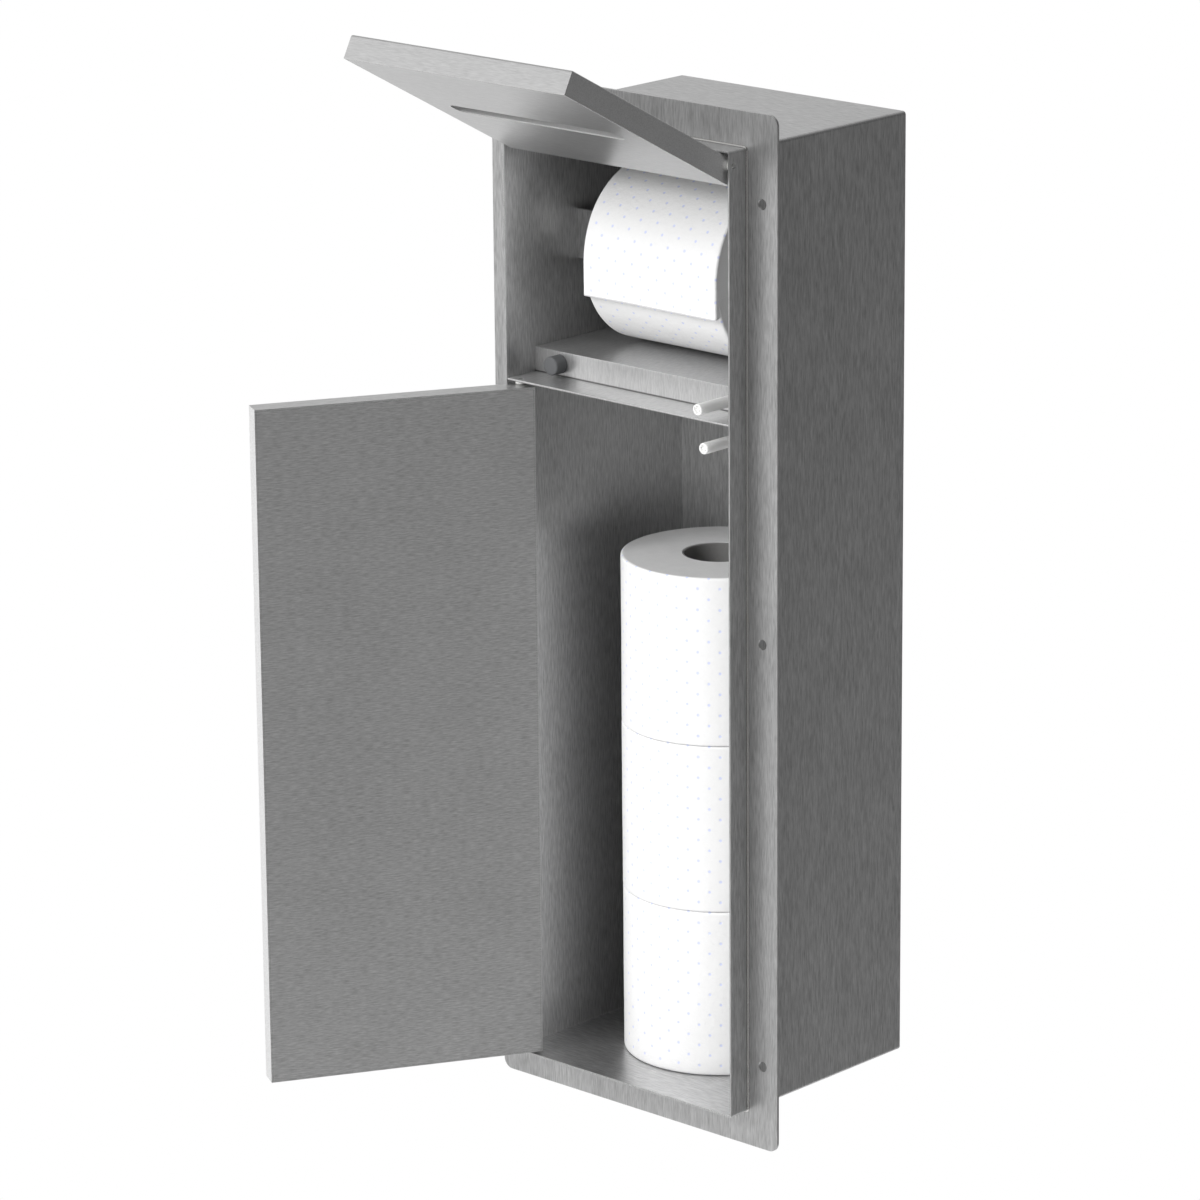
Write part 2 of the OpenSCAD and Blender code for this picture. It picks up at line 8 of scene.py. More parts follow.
import json
import logging
import math
from dataclasses import dataclass, replace
from enum import Enum
from typing import Sequence

import bmesh
import bpy
from mathutils import Matrix, Vector, noise

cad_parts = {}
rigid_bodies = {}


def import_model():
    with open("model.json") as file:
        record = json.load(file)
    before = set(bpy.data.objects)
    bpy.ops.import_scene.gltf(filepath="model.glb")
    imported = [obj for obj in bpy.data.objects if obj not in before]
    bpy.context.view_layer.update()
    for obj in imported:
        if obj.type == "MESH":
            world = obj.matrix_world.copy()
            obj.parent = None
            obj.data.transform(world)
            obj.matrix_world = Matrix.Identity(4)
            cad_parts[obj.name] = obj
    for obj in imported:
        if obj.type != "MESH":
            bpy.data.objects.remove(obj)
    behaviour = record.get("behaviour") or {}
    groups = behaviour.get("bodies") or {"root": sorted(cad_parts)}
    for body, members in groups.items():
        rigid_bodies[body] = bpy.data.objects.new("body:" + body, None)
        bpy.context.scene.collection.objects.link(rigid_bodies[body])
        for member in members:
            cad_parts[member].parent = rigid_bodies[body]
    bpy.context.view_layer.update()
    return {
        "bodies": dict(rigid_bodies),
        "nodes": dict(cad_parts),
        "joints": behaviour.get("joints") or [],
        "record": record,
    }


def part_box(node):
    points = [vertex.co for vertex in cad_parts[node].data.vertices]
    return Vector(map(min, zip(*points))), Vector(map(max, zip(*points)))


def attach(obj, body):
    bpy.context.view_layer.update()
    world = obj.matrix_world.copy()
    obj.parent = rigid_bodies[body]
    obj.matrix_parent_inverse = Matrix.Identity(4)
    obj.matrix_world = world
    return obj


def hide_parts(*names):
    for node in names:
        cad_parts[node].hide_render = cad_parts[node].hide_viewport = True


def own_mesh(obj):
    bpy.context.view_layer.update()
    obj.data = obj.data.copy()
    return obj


MM = 0.001
TURN = 2.0 * math.pi
LOG = logging.getLogger("cabinet")

Point = tuple[float, float, float]
Colour = tuple[float, float, float]
Span = tuple[float, float]

ACROSS: Point = (1.0, 0.0, 0.0)
INTO: Point = (0.0, 1.0, 0.0)
UP: Point = (0.0, 0.0, 1.0)


# ---------------------------------------------------------------- shader graph


class Wire:
    """One value or vector on its way through a material; operators add Math nodes."""

    def __init__(self, graph: "Graph", socket: bpy.types.NodeSocket) -> None:
        """Wraps a socket of a graph."""
        self.graph = graph
        self.socket = socket

    def other(self, name: str) -> "Wire":
        """Another output of the same node."""
        return Wire(self.graph, self.socket.node.outputs[name])

    def _math(self, operation: str, *values: "Wire | float") -> "Wire":
        """A Math node on the given values."""
        return self.graph.add("ShaderNodeMath", {"operation": operation},
                              dict(enumerate(values)))

    def __add__(self, value: "Wire | float") -> "Wire":
        """self + value."""
        return self._math("ADD", self, value)

    def __radd__(self, value: float) -> "Wire":
        """value + self."""
        return self._math("ADD", value, self)

    def __sub__(self, value: "Wire | float") -> "Wire":
        """self - value."""
        return self._math("SUBTRACT", self, value)

    def __rsub__(self, value: float) -> "Wire":
        """value - self."""
        return self._math("SUBTRACT", value, self)

    def __mul__(self, value: "Wire | float") -> "Wire":
        """self * value."""
        return self._math("MULTIPLY", self, value)

    def __rmul__(self, value: float) -> "Wire":
        """value * self."""
        return self._math("MULTIPLY", value, self)

    def __truediv__(self, value: "Wire | float") -> "Wire":
        """self / value."""
        return self._math("DIVIDE", self, value)

    def __rtruediv__(self, value: float) -> "Wire":
        """value / self."""
        return self._math("DIVIDE", value, self)

    def __neg__(self) -> "Wire":
        """Minus self."""
        return self._math("MULTIPLY", self, -1.0)

    def __abs__(self) -> "Wire":
        """Size of self."""
        return self._math("ABSOLUTE", self)

    def __mod__(self, value: float) -> "Wire":
        """What is left of self over value, never negative."""
        return self._math("FLOORED_MODULO", self, value)

    def __rmod__(self, value: float) -> "Wire":
        """What is left of value over self, never negative."""
        return self._math("FLOORED_MODULO", value, self)

    def at_least(self, value: "Wire | float") -> "Wire":
        """The larger of the two."""
        return self._math("MAXIMUM", self, value)

    def at_most(self, value: "Wire | float") -> "Wire":
        """The smaller of the two."""
        return self._math("MINIMUM", self, value)

    def whole(self) -> "Wire":
        """The whole part, rounded down."""
        return self._math("FLOOR", self)

    def root(self) -> "Wire":
        """Square root."""
        return self._math("SQRT", self)

    def sine(self) -> "Wire":
        """Sine of self in radians."""
        return self._math("SINE", self)

    def bearing(self, across: "Wire") -> "Wire":
        """Angle of the direction whose sine part is self and cosine part is across."""
        return self._math("ARCTAN2", self, across)

    def ease(self, low: float, high: float) -> "Wire":
        """Smooth step between two values.

        Args:
            low: Where the step is 0; it may lie above high.
            high: Where the step is 1.

        Returns:
            The step.
        """
        return self.graph.add("ShaderNodeMapRange", {"interpolation_type": "SMOOTHSTEP"},
                              {"Value": self, "From Min": low, "From Max": high,
                               "To Min": 0.0, "To Max": 1.0})


class Graph:
    """Node tree of one material or of the world."""

    def __init__(self, tree: bpy.types.NodeTree) -> None:
        """Starts from an empty tree."""
        self.tree = tree
        tree.nodes.clear()

    def add(self, kind: str, settings: dict[str, object] | None = None,
            values: dict[str | int, object] | None = None, out: str | int = 0) -> Wire:
        """Adds a node.

        Args:
            kind: The node's type.
            settings: Its settings, set first.
            values: Values or links of its sockets, by name or number.
            out: The output that is returned.

        Returns:
            The chosen output as a wire.
        """
        node = self.tree.nodes.new(kind)
        for name, value in (settings or {}).items():
            setattr(node, name, value)
        for name, value in (values or {}).items():
            socket = node.inputs[name]
            if isinstance(value, Wire):
                self.tree.links.new(value.socket, socket)
            elif isinstance(value, tuple) and socket.type == "RGBA":
                socket.default_value = (*value, 1.0)
            else:
                socket.default_value = value
        return Wire(self, node.outputs[out] if node.outputs else node.inputs[0])

    def place(self) -> Wire:
        """Place on the piece, in metres from the cabinet's origin."""
        return self.add("ShaderNodeTexCoord", out="Object")

    def vector(self, operation: str, a: "Wire | Point", b: "Wire | Point" = (0.0, 0.0, 0.0),
               out: str | int = 0) -> Wire:
        """A Vector Math node on a, and on b where the operation has two."""
        return self.add("ShaderNodeVectorMath", {"operation": operation}, {0: a, 1: b}, out)

    def dot(self, a: Wire, b: Point) -> Wire:
        """Length of a along b."""
        return self.vector("DOT_PRODUCT", a, b, "Value")

    def parts(self, a: Wire) -> tuple[Wire, Wire, Wire]:
        """The three parts of a vector."""
        return self.dot(a, ACROSS), self.dot(a, INTO), self.dot(a, UP)

    def from_centre(self, centre: Point) -> Wire:
        """Place on the piece, in metres from a centre in millimetres."""
        return self.vector("SUBTRACT", self.place(), tuple(part * MM for part in centre))

    def unrolled(self, place: Wire, level: bool) -> tuple[Wire, Wire]:
        """Place along a roll's axis, which may be level, and angle about it."""
        x, y, z = self.parts(place)
        return (x, z.bearing(y)) if level else (z, y.bearing(x))

    def blend(self, share: "Wire | float", a: "Wire | Colour", b: "Wire | Colour") -> Wire:
        """Colour between a, where the share is 0, and b, where it is 1."""
        return self.add("ShaderNodeMix", {"data_type": "RGBA"},
                        {0: share, 6: a, 7: b}, 2)

    def speckle(self, place: Wire, scale: float, detail: float = 2.0,
                rough: float = 0.55) -> Wire:
        """Noise around 0 with a spread of about a quarter.

        Args:
            place: Where it is read.
            scale: Features to a unit of place.
            detail: Octaves.
            rough: Strength of the finer octaves.

        Returns:
            The noise, less its middle.
        """
        value = self.add("ShaderNodeTexNoise", {"noise_dimensions": "3D"},
                         {"Vector": place, "Scale": scale, "Detail": detail,
                          "Roughness": rough}, "Fac")
        return (value - 0.5) * 2.0

    def bump(self, height: Wire, depth: float, strength: float = 1.0) -> Wire:
        """Normal bent by a height, whose unit is the depth in millimetres."""
        return self.add("ShaderNodeBump", {}, {"Height": height, "Distance": depth * MM,
                                               "Strength": strength})


class Grain(Enum):
    """Way the brushed lines run in a piece's own frame."""

    UPRIGHT = (0, 0, 1)
    LEVEL = (1, 0, 0)
    INWARD = (0, 1, 0)


# --------------------------------------------------------------------- finishes


@dataclass(frozen=True)
class Finish:
    """What every finish has: a name, a colour and a way to become a material.

    Rough is its roughness, contrast the shares by which its colour gets darker and lighter
    over the surface, and relief the height of its bumps in millimetres.
    """

    name: str
    colour: Colour = (0.6, 0.6, 0.6)
    rough: float = 0.4
    contrast: Span = (0.12, 0.1)
    relief: float = 0.01

    def material(self) -> bpy.types.Material:
        """Makes the finish into a material the first time that it is asked for.

        Returns:
            The material.
        """
        found = bpy.data.materials.get(self.name)
        if found is not None:
            return found
        made = bpy.data.materials.new(self.name)
        made.use_nodes = True
        made.diffuse_color = (*self.colour, 1.0)
        graph = Graph(made.node_tree)
        surface = self.surface(graph)
        graph.add("ShaderNodeOutputMaterial", {}, {"Surface": surface})
        return made

    def surface(self, graph: Graph) -> Wire:
        """The shader of the finish; each kind of finish has its own."""
        raise NotImplementedError(self.name)

    @staticmethod
    def coat(graph: Graph, values: dict[str | int, object]) -> Wire:
        """A Principled shader with the given sockets."""
        return graph.add("ShaderNodeBsdfPrincipled", {}, values)

    def shade(self, share: float) -> Colour:
        """The finish's colour made lighter, or darker by a negative share."""
        return tuple(min(1.0, part * (1.0 + share)) for part in self.colour)

    def tint(self, graph: Graph, share: Wire) -> Wire:
        """The finish's colour, from darker where the share is 0 to lighter where it is 1."""
        darker, lighter = self.contrast
        return graph.blend(share, self.shade(-darker), self.shade(lighter))


@dataclass(frozen=True)
class BrushedSteel(Finish):
    """Stainless sheet with fine brushed lines, a little uneven in tone and gloss.

    The turn brings the piece back to its closed place, so that the lines keep to the sheet.
    Sheet that is folded round the housing has its lines along the fold on level faces.
    Faces across rim_way get painted light: their colour is multiplied by rim_light and they
    mirror less by rim_matt. The crease_shade is the depth and the height of a fold whose
    inner corner gets a painted dark line of shade.
    """

    grain: Grain = Grain.UPRIGHT
    laid: Grain = Grain.LEVEL
    turn: Point = (0.0, 0.0, 0.0)
    line_w: float = 0.9
    line_l: float = 8.0
    rough: float = 0.36
    contrast: Span = (0.34, 0.34)
    relief: float = 0.003
    streaks: float = 0.08
    metal: float = 0.90
    folded: bool = True
    # Painted shade in a fold's inner corner: its place, reach, strength and colour.
    crease_shade: Span | None = None
    crease_shade_r: Span = (0.9, 0.35)
    crease_shade_share: float = 0.75
    crease_shade_colour: Colour = (0.08, 0.08, 0.08)
    # Painted light: faces across rim_way get their colour multiplied by a factor above one.
    rim_way: Point | None = None
    rim_light: float = 1.0
    rim_matt: float = 0.0
    face_fade: Span = (0.6, 0.8)
    band_scale: float = 0.22
    cloud_scale: float = 22.0
    smudge_scale: float = 60.0
    smudge_fade: Span = (0.25, 0.7)

    def lines(self, graph: Graph, place: Wire) -> Wire:
        """Stretches the place along the brushed lines.

        Args:
            graph: The material's nodes.
            place: Place on the closed sheet.

        Returns:
            The place, with a unit for each line's width and length.
        """
        thin, long = 1.0 / (self.line_w * MM), 1.0 / (self.line_l * MM)
        sizes = tuple(long if part else thin for part in self.grain.value)
        if not self.folded:
            return graph.vector("MULTIPLY", place, sizes)
        facing = graph.add("ShaderNodeNewGeometry", out="Normal")
        level = abs(graph.dot(facing, UP)).ease(*self.face_fade)
        flat = tuple(long if part else thin for part in self.laid.value)
        laid = graph.add("ShaderNodeMix", {"data_type": "VECTOR"},
                         {0: level, 4: sizes, 5: flat}, 1)
        return graph.vector("MULTIPLY", place, laid)

    def surface(self, graph: Graph) -> Wire:
        """Metal with lines, clouds of tone and faint smudges.

        Args:
            graph: The material's nodes.

        Returns:
            The shader.
        """
        place = graph.place()
        if any(self.turn):
            angles = tuple(math.radians(part) for part in self.turn)
            place = graph.add("ShaderNodeMapping", {"vector_type": "POINT"},
                              {"Vector": place, "Rotation": angles})
        lines = self.lines(graph, place)
        fine = graph.speckle(lines, 1.0, 3.0, 0.6)
        broad = graph.speckle(lines, self.band_scale, 2.0, 0.5)
        cloud = graph.speckle(place, self.cloud_scale, 3.0, 0.55)
        smudge = graph.speckle(place, self.smudge_scale, 2.0, 0.5).ease(*self.smudge_fade)
        tone = fine * 0.85 + broad * self.streaks + cloud * 0.1 + 0.5
        colour = self.tint(graph, tone)
        # Painted shade: darken the colour along the fold's inner corner.
        if self.crease_shade:
            colour = graph.blend(self.fold(graph) * self.crease_shade_share, colour,
                                 self.crease_shade_colour)
        metal: Wire | float = self.metal
        if self.rim_way:
            facing = graph.add("ShaderNodeTexCoord", out="Normal")
            rim = abs(graph.dot(facing, self.rim_way)).ease(*self.face_fade)
            # Painted light: lighten the faces across rim_way, as if they caught more light.
            colour = graph.blend(rim, colour, graph.vector("MULTIPLY", colour,
                                                           (self.rim_light,) * 3))
            metal = self.metal - rim * self.rim_matt
        rough = self.rough + fine * 0.05 + cloud * 0.03 + smudge * 0.04
        normal = graph.bump(fine, self.relief, 0.5)
        return self.coat(graph, {"Base Color": colour, "Metallic": metal,
                                 "Roughness": rough, "Normal": normal})

    def fold(self, graph: Graph) -> Wire:
        """Painted shade: a dark line in the inner corner of a fold along the cabinet's width.

        Args:
            graph: The material's nodes.

        Returns:
            1 in the corner and 0 away from it.
        """
        place = graph.place()
        deep, high = self.crease_shade
        beside = graph.dot(place, INTO) - deep * MM
        above = graph.dot(place, UP) - high * MM
        away = (beside * beside + above * above).root()
        return away.ease(*(reach * MM for reach in self.crease_shade_r))


@dataclass(frozen=True)
class CutEdge(Finish):
    """Laser-cut and rounded sheet edge, brighter than the face, with fine cross lines."""

    colour: Colour = (0.78, 0.78, 0.77)
    rough: float = 0.22
    contrast: Span = (0.1, 0.08)
    relief: float = 0.008
    nick_scale: float = 1800.0
    cloud_scale: float = 90.0

    def surface(self, graph: Graph) -> Wire:
        """Metal with fine lines across the edge.

        Args:
            graph: The material's nodes.

        Returns:
            The shader.
        """
        place = graph.place()
        nicks = graph.speckle(place, self.nick_scale, 2.0, 0.6)
        cloud = graph.speckle(place, self.cloud_scale, 2.0, 0.5)
        colour = self.tint(graph, nicks * 0.4 + cloud * 0.3 + 0.5)
        return self.coat(graph, {"Base Color": colour, "Metallic": 1.0,
                                 "Roughness": self.rough + nicks * 0.05,
                                 "Normal": graph.bump(nicks, self.relief, 0.5)})


@dataclass(frozen=True)
class WeldBead(Finish):
    """Fine weld seam, polished, with small ripples and a trace of heat colour."""

    colour: Colour = (0.74, 0.735, 0.72)
    rough: float = 0.24
    relief: float = 0.03
    ripple: float = 0.9
    uneven: float = 1.6
    shake_scale: float = 300.0
    heat_scale: float = 35.0
    heat_fade: Span = (0.1, 0.6)
    heat_colour: Colour = (0.66, 0.62, 0.55)

    def surface(self, graph: Graph) -> Wire:
        """Metal with ripples along the bead.

        Args:
            graph: The material's nodes.

        Returns:
            The shader.
        """
        place = graph.place()
        run = graph.dot(place, (1.0, 0.0, 1.0))
        shake = graph.speckle(place, self.shake_scale, 2.0, 0.5)
        wave = (run * (TURN / (self.ripple * MM)) + shake * self.uneven).sine()
        heat = graph.speckle(place, self.heat_scale, 2.0, 0.5).ease(*self.heat_fade)
        colour = graph.blend(heat * 0.5, self.colour, self.heat_colour)
        return self.coat(graph, {"Base Color": colour, "Metallic": 1.0,
                                 "Roughness": self.rough + shake * 0.06,
                                 "Normal": graph.bump(wave, self.relief, 0.6)})


@dataclass(frozen=True)
class TurnedSteel(Finish):
    """Small turned or drawn steel piece, such as a pin, a screw or a spring."""

    colour: Colour = (0.66, 0.66, 0.65)
    rough: float = 0.24
    contrast: Span = (0.14, 0.1)
    relief: float = 0.006
    mark_scale: float = 2600.0
    spot_scale: float = 420.0

    def surface(self, graph: Graph) -> Wire:
        """Metal with fine tool marks and darker spots.

        Args:
            graph: The material's nodes.

        Returns:
            The shader.
        """
        place = graph.place()
        marks = graph.speckle(place, self.mark_scale, 2.0, 0.6)
        spots = graph.speckle(place, self.spot_scale, 2.0, 0.5)
        colour = self.tint(graph, marks * 0.35 + spots * 0.3 + 0.5)
        return self.coat(graph, {"Base Color": colour, "Metallic": 1.0,
                                 "Roughness": self.rough + spots * 0.06,
                                 "Normal": graph.bump(marks, self.relief, 0.5)})


@dataclass(frozen=True)
class Moulded(Finish):
    """Moulded plastic or rubber: a fine moulded texture, uneven gloss, a few pale scuffs.

    Milky is the share of the light that passes a little way through, up to the depth glow.
    Scuff is how strongly the scuffs show, and scuff_tone how much paler they are.
    """

    rough: float = 0.42
    contrast: Span = (0.06, 0.05)
    relief: float = 0.02
    texture: float = 1500.0
    scuff: float = 0.25
    scuff_tone: float = 0.3
    milky: float = 0.0
    glow: float = 3.0
    cloud_scale: float = 80.0
    scuff_scale: float = 520.0
    scuff_way: Point = (1.0, 3.0, 1.0)
    scuff_fade: Span = (0.3, 0.75)

    def surface(self, graph: Graph) -> Wire:
        """Plastic with texture and scuffs.

        Args:
            graph: The material's nodes.

        Returns:
            The shader.
        """
        place = graph.place()
        skin = graph.speckle(place, self.texture, 2.0, 0.5)
        cloud = graph.speckle(place, self.cloud_scale, 3.0, 0.5)
        scuffs = graph.speckle(graph.vector("MULTIPLY", place, self.scuff_way),
                               self.scuff_scale, 3.0, 0.65).ease(*self.scuff_fade)
        tone = self.tint(graph, cloud * 0.4 + 0.5)
        colour = graph.blend(scuffs * self.scuff, tone, self.shade(self.scuff_tone))
        return self.coat(graph, {"Base Color": colour,
                                 "Roughness": self.rough + skin * 0.05 + scuffs * 0.08,
                                 "Subsurface Weight": self.milky,
                                 "Subsurface Radius": (1.0, 1.0, 1.0),
                                 "Subsurface Scale": self.glow * MM,
                                 "Normal": graph.bump(skin, self.relief, 0.6)})


@dataclass(frozen=True)
class PrintedPaper(Finish):
    """Soft white paper round a roll, with pale blue dots in staggered columns.

    The columns run round the roll about its axis; their number is even, so they close.
    """

    colour: Colour = (0.90, 0.90, 0.90)
    rough: float = 0.86
    contrast: Span = (0.035, 0.03)
    relief: float = 0.24
    shine: float = 0.25
    sheen: float = 0.15
    dot_colour: Colour = (0.56, 0.62, 0.95)
    centre: Point = (0.0, 0.0, 0.0)
    level: bool = False
    radius: float = 57.0
    columns: int = 56
    pitch: float = 12.5
    dot_r: float = 0.85
    dot_fade: Span = (1.35, 0.55)
    dot_share: float = 0.62
    dot_uneven: float = 0.22
    shake_scale: float = 400.0
    fibre_scale: float = 900.0
    puff_scale: float = 330.0
    crease_scale: float = 34.0

    def surface(self, graph: Graph) -> Wire:
        """Paper with dots, a soft emboss and creases.

        Args:
            graph: The material's nodes.

        Returns:
            The shader.
        """
        place = graph.from_centre(self.centre)
        run, turn = graph.unrolled(place, self.level)
        column = (turn / TURN + 0.5) * self.columns
        odd = column.whole() % 2.0
        beside = (column % 1.0 - 0.5) * (TURN * self.radius / self.columns)
        shake = graph.speckle(place, self.shake_scale, 2.0, 0.5)
        above = ((run / (self.pitch * MM) + odd * 0.5) % 1.0 - 0.5) * self.pitch
        away = (beside * beside + above * above).root() + shake * self.dot_uneven
        dots = away.ease(*(self.dot_r * part for part in self.dot_fade))
        fibre = graph.speckle(place, self.fibre_scale, 3.0, 0.6)
        puff = graph.speckle(place, self.puff_scale, 2.0, 0.5)
        fold = graph.speckle(place, self.crease_scale, 3.0, 0.5)
        sheet = self.tint(graph, fibre * 0.3 + puff * 0.35 + 0.5)
        colour = graph.blend(dots * self.dot_share, sheet, self.dot_colour)
        height = puff * 0.6 + fibre * 0.25 + fold * 0.8 - dots * 0.5
        return self.coat(graph, {"Base Color": colour,
                                 "Roughness": self.rough + fibre * 0.05,
                                 "Specular IOR Level": self.shine,
                                 "Sheen Weight": self.sheen,
                                 "Normal": graph.bump(height, self.relief, 0.8)})


@dataclass(frozen=True)
class PaperEdge(Finish):
    """End of a roll: the edges of its wound layers, in rings, with fine fluff."""

    colour: Colour = (0.80, 0.80, 0.80)
    rough: float = 0.95
    relief: float = 0.12
    shine: float = 0.15
    centre: Point = (0.0, 0.0, 0.0)
    level: bool = False
    layer: float = 0.55
    uneven: float = 1.4
    wander_scale: float = 55.0
    fluff_scale: float = 1500.0
    cloud_scale: float = 120.0

    def surface(self, graph: Graph) -> Wire:
        """Paper edges in rings.

        Args:
            graph: The material's nodes.

        Returns:
            The shader.
        """
        place = graph.from_centre(self.centre)
        mask = (0.0, 1.0, 1.0) if self.level else (1.0, 1.0, 0.0)
        flat = graph.vector("MULTIPLY", place, mask)
        out = graph.vector("LENGTH", flat, out="Value")
        wander = graph.speckle(flat, self.wander_scale, 3.0, 0.5)
        rings = ((out / (self.layer * MM) + wander * self.uneven) * TURN).sine()
        fluff = graph.speckle(place, self.fluff_scale, 3.0, 0.7)
        cloud = graph.speckle(place, self.cloud_scale, 2.0, 0.5)
        tone = rings * 0.16 + fluff * 0.42 + cloud * 0.25 + 0.5
        colour = self.tint(graph, tone)
        height = rings * 0.5 + fluff
        return self.coat(graph, {"Base Color": colour, "Roughness": self.rough,
                                 "Specular IOR Level": self.shine,
                                 "Normal": graph.bump(height, self.relief, 0.8)})


@dataclass(frozen=True)
class CoreCard(Finish):
    """Wound card of a roll's core, with the seam of its spiral."""

    colour: Colour = (0.25, 0.247, 0.243)
    rough: float = 0.9
    relief: float = 0.08
    centre: Point = (0.0, 0.0, 0.0)
    level: bool = False
    lead: float = 62.0
    seam_fade: Span = (0.012, 0.004)
    seam_tone: float = -0.4
    fibre_scale: float = 700.0
    cloud_scale: float = 110.0

    def surface(self, graph: Graph) -> Wire:
        """Card with fibres and a spiral seam.

        Args:
            graph: The material's nodes.

        Returns:
            The shader.
        """
        place = graph.from_centre(self.centre)
        run, turn = graph.unrolled(place, self.level)
        wound = (run / (self.lead * MM) + turn / TURN) % 1.0
        seam = abs(wound - 0.5).ease(*self.seam_fade)
        fibre = graph.speckle(place, self.fibre_scale, 3.0, 0.65)
        cloud = graph.speckle(place, self.cloud_scale, 2.0, 0.5)
        tone = self.tint(graph, fibre * 0.35 + cloud * 0.25 + 0.5)
        colour = graph.blend(seam * 0.5, tone, self.shade(self.seam_tone))
        height = fibre * 0.4 - seam
        return self.coat(graph, {"Base Color": colour,
                                 "Roughness": self.rough + fibre * 0.05,
                                 "Normal": graph.bump(height, self.relief, 0.8)})


@dataclass(frozen=True)
class Palette:
    """Every finish that the cabinet uses."""

    sheet: BrushedSteel = BrushedSteel("housing_steel", (0.62, 0.62, 0.62))
    flange: BrushedSteel = BrushedSteel("flange_steel", (0.62, 0.62, 0.62), line_w=0.8,
                                        line_l=9.0, streaks=0.25)
    back: BrushedSteel = BrushedSteel("back_steel", (0.64, 0.64, 0.64), metal=0.62,
                                      rough=0.42)
    # The divider gets painted shade in the fold behind its ledge and painted light on its
    # upward faces.
    inside: BrushedSteel = BrushedSteel("divider_steel", (0.70, 0.70, 0.70),
                                        rough=0.33, contrast=(0.18, 0.18), relief=0.0015,
                                        laid=Grain.INWARD, line_w=0.7, line_l=5.0,
                                        metal=0.80, crease_shade=(7.3, 127.0), rim_way=UP,
                                        rim_light=1.02)
    # Painted light: door, flap and the flap's inner sheet are lightened on faces across
    # rim_way.
    door: BrushedSteel = BrushedSteel("door_steel", (0.62, 0.62, 0.62),
                                      contrast=(0.32, 0.32), grain=Grain.LEVEL,
                                      turn=(0.0, 0.0, 120.0), line_w=0.7, line_l=5.5,
                                      folded=False, rim_way=(-0.5, -0.866, 0.0),
                                      rim_light=1.12, rim_matt=0.35)
    flap: BrushedSteel = BrushedSteel("flap_steel", (0.58, 0.58, 0.58),
                                      rough=0.34, contrast=(0.18, 0.18),
                                      grain=Grain.LEVEL, turn=(118.0, 0.0, 0.0),
                                      line_w=0.6, line_l=6.0, metal=0.86, folded=False,
                                      rim_way=ACROSS, rim_light=1.3)
    liner: BrushedSteel = replace(flap, name="flap_inner_steel", colour=(0.55, 0.55, 0.55),
                                  rim_way=(0.0, -0.883, 0.469), rim_light=1.2,
                                  rim_matt=0.45)
    hidden: BrushedSteel = BrushedSteel("stiffener_steel", (0.55, 0.55, 0.55), line_l=4.0,
                                        line_w=0.8, rough=0.4, folded=False)
    sleeve: BrushedSteel = BrushedSteel("slot_steel", (0.50, 0.50, 0.50), rough=0.4,
                                        contrast=(0.12, 0.12), line_w=0.5, line_l=4.0,
                                        metal=0.5, folded=False)
    edge: CutEdge = CutEdge("eased_edge")
    weld: WeldBead = WeldBead("weld_bead")
    pin: TurnedSteel = TurnedSteel("turned_pin")
    screw: TurnedSteel = TurnedSteel("turned_screw", (0.62, 0.62, 0.60), rough=0.3)
    spring: TurnedSteel = TurnedSteel("spring_wire", (0.5, 0.5, 0.49), rough=0.32)
    washer: Moulded = Moulded("moulded_washer", (0.72, 0.72, 0.70), rough=0.45)
    block: Moulded = Moulded("moulded_block", (0.30, 0.31, 0.32), rough=0.5, relief=0.03)
    bumper: Moulded = Moulded("moulded_stop", (0.115, 0.118, 0.122), rough=0.55,
                              texture=1100.0, relief=0.04, scuff=0.35)
    latch: Moulded = Moulded("moulded_latch", (0.62, 0.62, 0.61), rough=0.45)
    plunger: Moulded = Moulded("moulded_plunger", (0.88, 0.88, 0.87), rough=0.34,
                               texture=1900.0, relief=0.01, scuff=0.12, milky=0.8)
    spindle: Moulded = Moulded("moulded_spindle", (0.84, 0.84, 0.83), rough=0.38)


# ------------------------------------------------------------------- mesh tools


